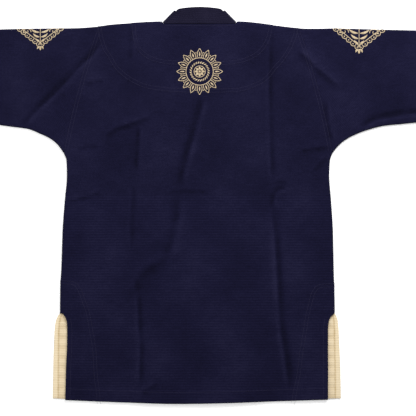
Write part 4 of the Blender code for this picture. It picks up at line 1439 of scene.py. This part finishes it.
def measured(line):
    """Distance along a line at each of its points."""
    return np.concatenate([[0], np.cumsum(np.linalg.norm(np.diff(line, axis=0), axis=1))])


def aside(line, by):
    """A line moved to its left."""
    ahead = np.gradient(line, axis=0)
    ahead /= np.linalg.norm(ahead, axis=1, keepdims=True)
    return line + by * np.stack([-ahead[:, 1], ahead[:, 0]], -1)


def strand(face, line, at, sides, ups):
    """A tube along a line: rings at distances along it, each with offsets to the side and up."""
    lengths = measured(line)
    ahead = np.gradient(line, axis=0)
    u, v = (np.interp(at, lengths, line[:, k]) for k in range(2))
    du, dv = (np.interp(at, lengths, ahead[:, k]) for k in range(2))
    size = np.hypot(du, dv)
    places_u = u[:, None] - (dv / size)[:, None] * sides
    places_v = v[:, None] + (du / size)[:, None] * sides
    rings = face(places_u, places_v, ups)
    cut = np.stack([np.broadcast_to(at[:, None], sides.shape), sides], -1)
    return Strand(rings, cut)


def closed_ends(part):
    """Adds a point to each end of a tube."""
    middles = [np.broadcast_to(part.rings[k].mean(0), part.rings[k].shape)[None] for k in (0, -1)]
    rings = np.concatenate([middles[0], part.rings, middles[1]])
    return Strand(rings, np.concatenate([part.cut[:1], part.cut, part.cut[-1:]]))


def stitches(face, path, by=0.0):
    """A row of stitches, at a distance to the left of a path."""
    line = aside(flowing(path, 0.003), by)
    count = max(2, int(measured(line)[-1] / STITCH))
    at = np.append((np.arange(count)[:, None] + np.array(STITCH_MARKS)).ravel(), count) * STITCH
    heights = np.append(np.tile(STITCH_HEIGHTS, count), STITCH_HEIGHTS[0])
    turn = np.linspace(0, 2 * math.pi, 5)
    sides = np.broadcast_to(THREAD_RADIUS * np.cos(turn), (len(at), 5))
    ups = heights[:, None] + 0.8 * THREAD_RADIUS * np.sin(turn)
    return closed_ends(strand(face, line, at, sides, ups))


def sewn(name, parts, look):
    """Joins many strands in one piece."""
    bm = bmesh.new()
    cuts = []
    for part in parts:
        places = add_grid(bm, part.rings)
        cuts += [part.cut[place] for place in places]
    lay_uv(bm, cuts)
    bmesh.ops.remove_doubles(bm, verts=bm.verts, dist=1e-6)
    bmesh.ops.dissolve_degenerate(bm, edges=bm.edges, dist=1e-7)
    piece = finished(name, bm, look)
    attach(piece, "root")
    return piece


# %% Threads
def thread_look(name, colour):
    look = Look(name, colour, 0.7, 0.05)
    look.bump(look.noise(look.place(), 2500.0, 2.0), 0.0001, 0.5)
    return look.material


navy_thread = thread_look("navy_thread", (0.025, 0.0225, 0.052))
beige_thread = thread_look("beige_thread", (0.66, 0.54, 0.36))

# %% Rows on the back
NEEDLE_PAIR = (0.0016, 0.0082)
HEM_ROW = 0.0245
SLIT_ROW = 0.0100


def rows_on_back():
    parts = []
    for by in NEEDLE_PAIR:
        parts.append(stitches(on_back, YOKE_LINE, by))
        parts.append(stitches(on_back, NECK_LINE, by))
        parts.append(stitches(on_back, HIP_LINES["left"], -by))
        parts.append(stitches(on_back, HIP_LINES["right"], by))
    xs = np.linspace(-0.279, 0.268, 12)
    parts.append(stitches(on_back, [(x, float(read(HEM, "y", x)) + HEM_ROW) for x in xs]))
    for side, sign in (("left", -1), ("right", 1)):
        column = f"back_{side}"
        ys = np.linspace(SLIT_OPEN_Y - 0.006, HEM_Y + 0.004, 9)
        parts.append(stitches(on_back, [(float(read(SIDES, column, y)) - sign * SLIT_ROW, y) for y in ys]))
        ys = np.linspace(ARMPIT_Y + 0.004, ARMHOLES[side].tip_y - 0.004, 9)
        for by in NEEDLE_PAIR:
            parts.append(stitches(on_back, [(float(armhole_x(side, y)) - sign * by, y) for y in ys]))
    xs = np.linspace(-NECK_CORNER_X + 0.004, NECK_CORNER_X - 0.004, 9)
    parts.append(stitches(on_back, [(x, NECK_SEAM_Y - 0.0035) for x in xs]))
    return sewn("stitching_on_back", parts, navy_thread)


rows_on_back()

# %% Rows on the sleeves, the band and the tapes
CUFF_ROWS = 5
CUFF_ROW_PITCH = 0.0065


def rows_on_sleeves():
    parts = []
    for side in ("left", "right"):
        for row in range(CUFF_ROWS):
            out = SLEEVE_LENGTH - 0.004 - row * CUFF_ROW_PITCH
            across = np.linspace(0.0035, 0.168, 8)
            parts.append(stitches(on_sleeve(side), [(out, place) for place in across]))
    return sewn("stitching_on_cuffs", parts, navy_thread)


def rows_on_band():
    parts = []
    ends = (RUNS[0] + 0.004, RUNS[-1] - 0.004)
    width = (STATIONS[0][1] - STATIONS[0][0]).length
    for place in quilt_places(width):
        parts.append(stitches(on_band, [(run, place * 0.98) for run in np.linspace(*ends, 5)]))
    return sewn("stitching_on_collar", parts, navy_thread)


def rows_on_tapes():
    parts = []
    for side in ("left", "right"):
        ys = np.linspace(TAPE_TIP_Y - 0.012, TAPE_HEM_Y + 0.003, 10)
        way_down = (TAPE_TIP_Y - ys) / (TAPE_TIP_Y - TAPE_HEM_Y)
        fold_at = blend(TAPE_FOLD_TOP, TAPE_FOLD_LOW, np.sqrt(way_down)) + 0.0022
        parts.append(stitches(on_tape(side), list(zip(fold_at, ys))))
    return sewn("stitching_on_tapes", parts, beige_thread)


rows_on_sleeves()
rows_on_band()
rows_on_tapes()

# %% [markdown]
# ## Embroidery
# The ornaments are satin stitch: threads that lie close together across narrow bands, and swell up in the
# middle. Each band is a low dome along its path, and fine lines across it stand for its threads. The designs
# are drawn here from plain motifs: rings, rope, leaves, petals, scallops and beads. They keep the colours,
# the size and the places of the photographed ones, and are otherwise designs of their own.

# %% Satin bands, leaves and beads
SATIN_RISE = 0.00065
SATIN_SUNK = -0.00035
DOME = np.linspace(0, math.pi, 6)


def satin(face, line, width, closed=False):
    """A satin band along a line. The width is one value, or one for each point of the line."""
    line = np.array(line, float)
    lengths = measured(line)
    count = max(4, int(lengths[-1] / 0.0011))
    at = np.linspace(0, lengths[-1], count + 1)
    half = np.interp(at, lengths, np.broadcast_to(np.array(width, float) / 2, lengths.shape))
    across = np.concatenate([np.cos(DOME), [-0.85, 0.85, 1.0]])
    rise = np.concatenate([np.sin(DOME), [0, 0, 0]])
    sides = half[:, None] * across
    swell = np.minimum(SATIN_RISE, half * 0.9)[:, None] * rise
    ups = swell + np.array([0] * len(DOME) + [SATIN_SUNK, SATIN_SUNK, 0.0])
    part = strand(face, line, at, sides, ups)
    if not closed:
        return closed_ends(part)
    rings = part.rings.copy()
    rings[0] = rings[-1] = (rings[0] + rings[-1]) / 2
    return Strand(rings, part.cut)


def ring(face, centre, radius, width):
    turn = np.linspace(0, 2 * math.pi, max(16, int(radius / 0.0003)) + 1)
    return satin(face, centre + radius * np.stack([np.cos(turn), np.sin(turn)], -1), width, closed=True)


def leaf(face, base, tip, width, bend=0.0):
    """A solid leaf: a band that is widest near its middle and bends to one side."""
    base, tip = np.array(base, float), np.array(tip, float)
    t = np.linspace(0, 1, 13)
    ahead = tip - base
    aslant = np.array([-ahead[1], ahead[0]])
    line = base + t[:, None] * ahead + (bend * np.sin(math.pi * t))[:, None] * aslant
    return satin(face, line, np.maximum(width * np.sin(math.pi * t**0.85) ** 0.75, 0.0004))


def petal(face, base, tip, width, band):
    """The outline of a pointed petal, as two bands that meet at its tip."""
    base, tip = np.array(base, float), np.array(tip, float)
    t = np.linspace(0, 1, 17)
    ahead = tip - base
    aslant = np.array([-ahead[1], ahead[0]]) / np.linalg.norm(ahead)
    swing = width / 2 * np.sin(math.pi * (0.25 + 0.75 * t))
    return [
        satin(face, base + t[:, None] * ahead + sign * swing[:, None] * aslant, band) for sign in (-1, 1)
    ]


def bead(face, centre, radius):
    turn = np.linspace(0, 2 * math.pi, 13)
    lift = np.linspace(0, QUARTER, 4)
    out = np.concatenate([[0], radius * np.sin(lift[1:]), [radius * 0.9]])
    up = np.concatenate([SATIN_RISE * np.cos(lift), [SATIN_SUNK]])
    u = centre[0] + out[:, None] * np.cos(turn)
    v = centre[1] + out[:, None] * np.sin(turn)
    rings = face(u, v, np.broadcast_to(up[:, None], u.shape))
    floor = np.broadcast_to(rings[-1].mean(0), rings[-1].shape)[None]
    rings = np.concatenate([rings, floor])
    cut = np.stack([np.broadcast_to(u[:1] - u[:1] + 0.5 * radius * np.cos(turn), u.shape), v - centre[1]], -1)
    return Strand(rings, np.concatenate([cut, cut[-1:]]))


# %% Gold thread
def gold_satin():
    look = Look("gold_satin_thread", (0.42, 0.33, 0.20), 0.6, 0.10)
    split = look.add("ShaderNodeSeparateXYZ", Vector=look.cut())
    wave = look.math("SINE", look.math("MULTIPLY", split.outputs["X"], 2 * math.pi / 0.00055))
    threads = look.ramp(wave, -1.0, 1.0)
    shade = look.total((threads, 0.30), (look.noise(look.place(), 400.0, 3.0), 0.7))
    look.colour(
        look.ramp(shade, 0.20, 0.80),
        ((0.0, (0.30, 0.22, 0.13)), (0.5, (0.47, 0.37, 0.235)), (1.0, (0.64, 0.53, 0.36))),
    )
    look.bump(threads, 0.00018, 0.8)
    return look.material


gold_thread = gold_satin()

# %% Rosette between the shoulders
ROSETTE = np.array((0.0003, 0.2838))
PETALS = 16


def around(radius, share):
    """Place on a circle of the rosette, a share of the way round."""
    turn = 2 * math.pi * share
    return ROSETTE + radius * np.array((math.sin(turn), math.cos(turn)))


def make_rosette():
    parts = [bead(on_back, ROSETTE, 0.0024)]
    for k in range(8):
        parts.append(leaf(on_back, around(0.0034, k / 8), around(0.0108, k / 8), 0.0050))
    parts.append(ring(on_back, ROSETTE, 0.0119, 0.0015))
    for k in range(24):
        parts.append(leaf(on_back, around(0.0168, k / 24), around(0.0214, (k + 0.85) / 24), 0.0027))
    parts.append(ring(on_back, ROSETTE, 0.0289, 0.0017))
    for k in range(PETALS):
        here = k / PETALS
        parts += petal(on_back, around(0.0300, here), around(0.0490, here), 0.0104, 0.0015)
        parts.append(leaf(on_back, around(0.0318, here), around(0.0422, here), 0.0030))
        parts.append(bead(on_back, around(0.0404, here + 0.5 / PETALS), 0.0012))
    return sewn("rosette_embroidery", parts, gold_thread)


make_rosette()

# %% Ornaments that hang from the shoulder folds
Ornament = namedtuple("Ornament", "x half depth")
ORNAMENTS = {"left": Ornament(-0.3375, 0.0490, 0.0462), "right": Ornament(0.3382, 0.0550, 0.0525)}
SCALLOPS = 6


def on_fold(side):
    """Face of a sleeve next to its upper fold: a place along the jacket, and a distance from the fold."""
    table = SLEEVES[side]
    outs = np.linspace(0, SLEEVE_LENGTH, 400)
    xs, ys = read(table, "top_x", outs), read(table, "top_y", outs)
    order = np.argsort(xs)

    def face(x, down, above):
        turn = np.clip(down / OUTER_RADIUS, 0, QUARTER)
        radius = OUTER_RADIUS + above
        y = np.interp(x, xs[order], ys[order]) - OUTER_RADIUS
        y = y + radius * np.cos(turn) - np.clip(down - OUTER_RADIUS * QUARTER, 0, None)
        relief = upper_relief(x, y, np.ones(x.shape)) * ease(np.sin(turn))
        return np.stack([x, y, SIDE_SEAM_MID + radius * np.sin(turn) + relief], -1)

    return face


def make_ornament(side):
    face = on_fold(side)
    shape = ORNAMENTS[side]
    size = shape.half / 0.050

    def at(across, down):
        """Place in the half diamond: across from -1 to 1, and down from the fold to its tip, 0 to 1."""
        return np.array((shape.x + across * shape.half, 0.0012 + down * shape.depth))

    parts = []
    for sign in (-1, 1):
        corner, tip = at(sign * 1.0, 0.0), at(0.0, 0.86)
        ahead = (tip - corner) / SCALLOPS
        inward = np.array((-sign * abs(ahead[1]), -abs(ahead[0])))
        inward /= np.linalg.norm(inward)
        parts.append(satin(face, [corner + inward * 0.0052, tip + inward * 0.0052 * 1.2], 0.0017))
        for k in range(SCALLOPS):
            t = np.linspace(0, 1, 11)[:, None]
            arc = corner + ahead * (k + t) - inward * 0.0030 * size * np.sin(math.pi * t)
            parts.append(satin(face, arc, 0.0017))
            if k:
                parts.append(satin(face, [corner + ahead * k, corner + ahead * k + inward * 0.0046], 0.0014))
            parts.append(bead(face, corner + ahead * (k + 0.5) + inward * 0.0012, 0.0013 * size))
        for down, reach, length in ((0.62, 0.19, 0.13), (0.42, 0.32, 0.17), (0.20, 0.40, 0.16)):
            tip = at(sign * reach, down - length)
            parts.append(leaf(face, at(sign * 0.03, down), tip, 0.0044 * size, 0.12 * sign))
        t = np.linspace(0, 1, 30)
        swirl = 0.20 * (1 - 0.72 * t)
        turn = math.pi * (0.9 + 2.3 * t)
        centre_x, centre_y = 0.60, 0.14
        curl = [
            at(sign * (centre_x + w * math.cos(a)), centre_y + 0.75 * w * math.sin(a))
            for w, a in zip(swirl, turn)
        ]
        parts.append(satin(face, curl, 0.0017))
        parts.append(leaf(face, at(sign * 0.02, 0.84), at(sign * 0.13, 0.98), 0.0040 * size, -0.15 * sign))
    parts.append(satin(face, [at(0, 0.02), at(0, 0.40), at(0, 0.78)], 0.0016))
    parts.append(leaf(face, at(0.0, 0.86), at(0.0, 1.03), 0.0042 * size))
    return sewn(f"{side}_shoulder_embroidery", parts, gold_thread)


for side in ("left", "right"):
    make_ornament(side)

# %% [markdown]
# ## Which solid each piece stands for
# Everything lies in one rigid body, "root". Each cloth piece hides its plain solid. Cloth hardly stretches.


def dress(piece, node):
    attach(piece, "root")
    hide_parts(node)


dress(back_cloth, "back_panel")
dress(fronts["left"], "front_left")
dress(fronts["right"], "front_right")
for side in ("left", "right"):
    dress(sleeves[side], f"sleeve_{side}")
    dress(tapes[side], f"vent_facing_{side}")
dress(collar_band, "collar")

# %% [markdown]
# ## Floor, light and camera
# The photograph was taken from straight above, with a long lens, on a white table under soft studio light
# that is a little stronger at the top right. The white floor is lit to pure white, so a large soft light and
# an even white sky do most of the work, and a second soft light from the top right shows the creases.

# %% White floor
CAMERA_X, CAMERA_Y = 0.0180, -0.0052
CAMERA_HEIGHT = 4.0
FRAME_WIDTH = 0.882
FLOOR_HALF = 6.0


def white_floor():
    bm = bmesh.new()
    bmesh.ops.create_grid(bm, x_segments=1, y_segments=1, size=FLOOR_HALF)
    for vertex in bm.verts:
        vertex.co.z = -0.0004
    mesh = bpy.data.meshes.new("white_floor")
    bm.to_mesh(mesh)
    bm.free()
    paint = Look("white_floor_paint", (0.90, 0.90, 0.90), 0.9, 0.0)
    paint.set(paint.shader, "Emission Color", (1.0, 1.0, 1.0, 1))
    paint.set(paint.shader, "Emission Strength", 0.30)
    mesh.materials.append(paint.material)
    made = bpy.data.objects.new("white_floor", mesh)
    bpy.context.scene.collection.objects.link(made)


white_floor()


# %% Lights
def soft_light(name, place, aim, size, watts):
    lamp = bpy.data.lights.new(name, "AREA")
    lamp.size = size
    lamp.energy = watts
    made = bpy.data.objects.new(name, lamp)
    made.location = place
    made.rotation_euler = (Vector(aim) - Vector(place)).to_track_quat("-Z", "Y").to_euler()
    bpy.context.scene.collection.objects.link(made)


soft_light("key_softbox", (0.60, 1.40, 1.30), (0.0, 0.10, 0.0), 1.4, 52)
soft_light("fill_softbox", (-1.60, 0.00, 1.80), (-0.2, 0.0, 0.0), 1.8, 26)

world = bpy.data.worlds.new("white_studio")
world.use_nodes = True
world.node_tree.nodes["Background"].inputs["Color"].default_value = (1.0, 1.0, 1.0, 1)
world.node_tree.nodes["Background"].inputs["Strength"].default_value = 0.40
bpy.context.scene.world = world
bpy.context.scene.view_settings.view_transform = "Standard"

# %% Camera
lens = bpy.data.cameras.new("camera_above")
lens.sensor_width = 36.0
lens.lens = 36.0 * (CAMERA_HEIGHT - BACK_MID) / FRAME_WIDTH
lens.clip_end = 50.0
camera = bpy.data.objects.new("camera_above", lens)
camera.location = (CAMERA_X, CAMERA_Y, CAMERA_HEIGHT)
bpy.context.scene.collection.objects.link(camera)
bpy.context.scene.camera = camera
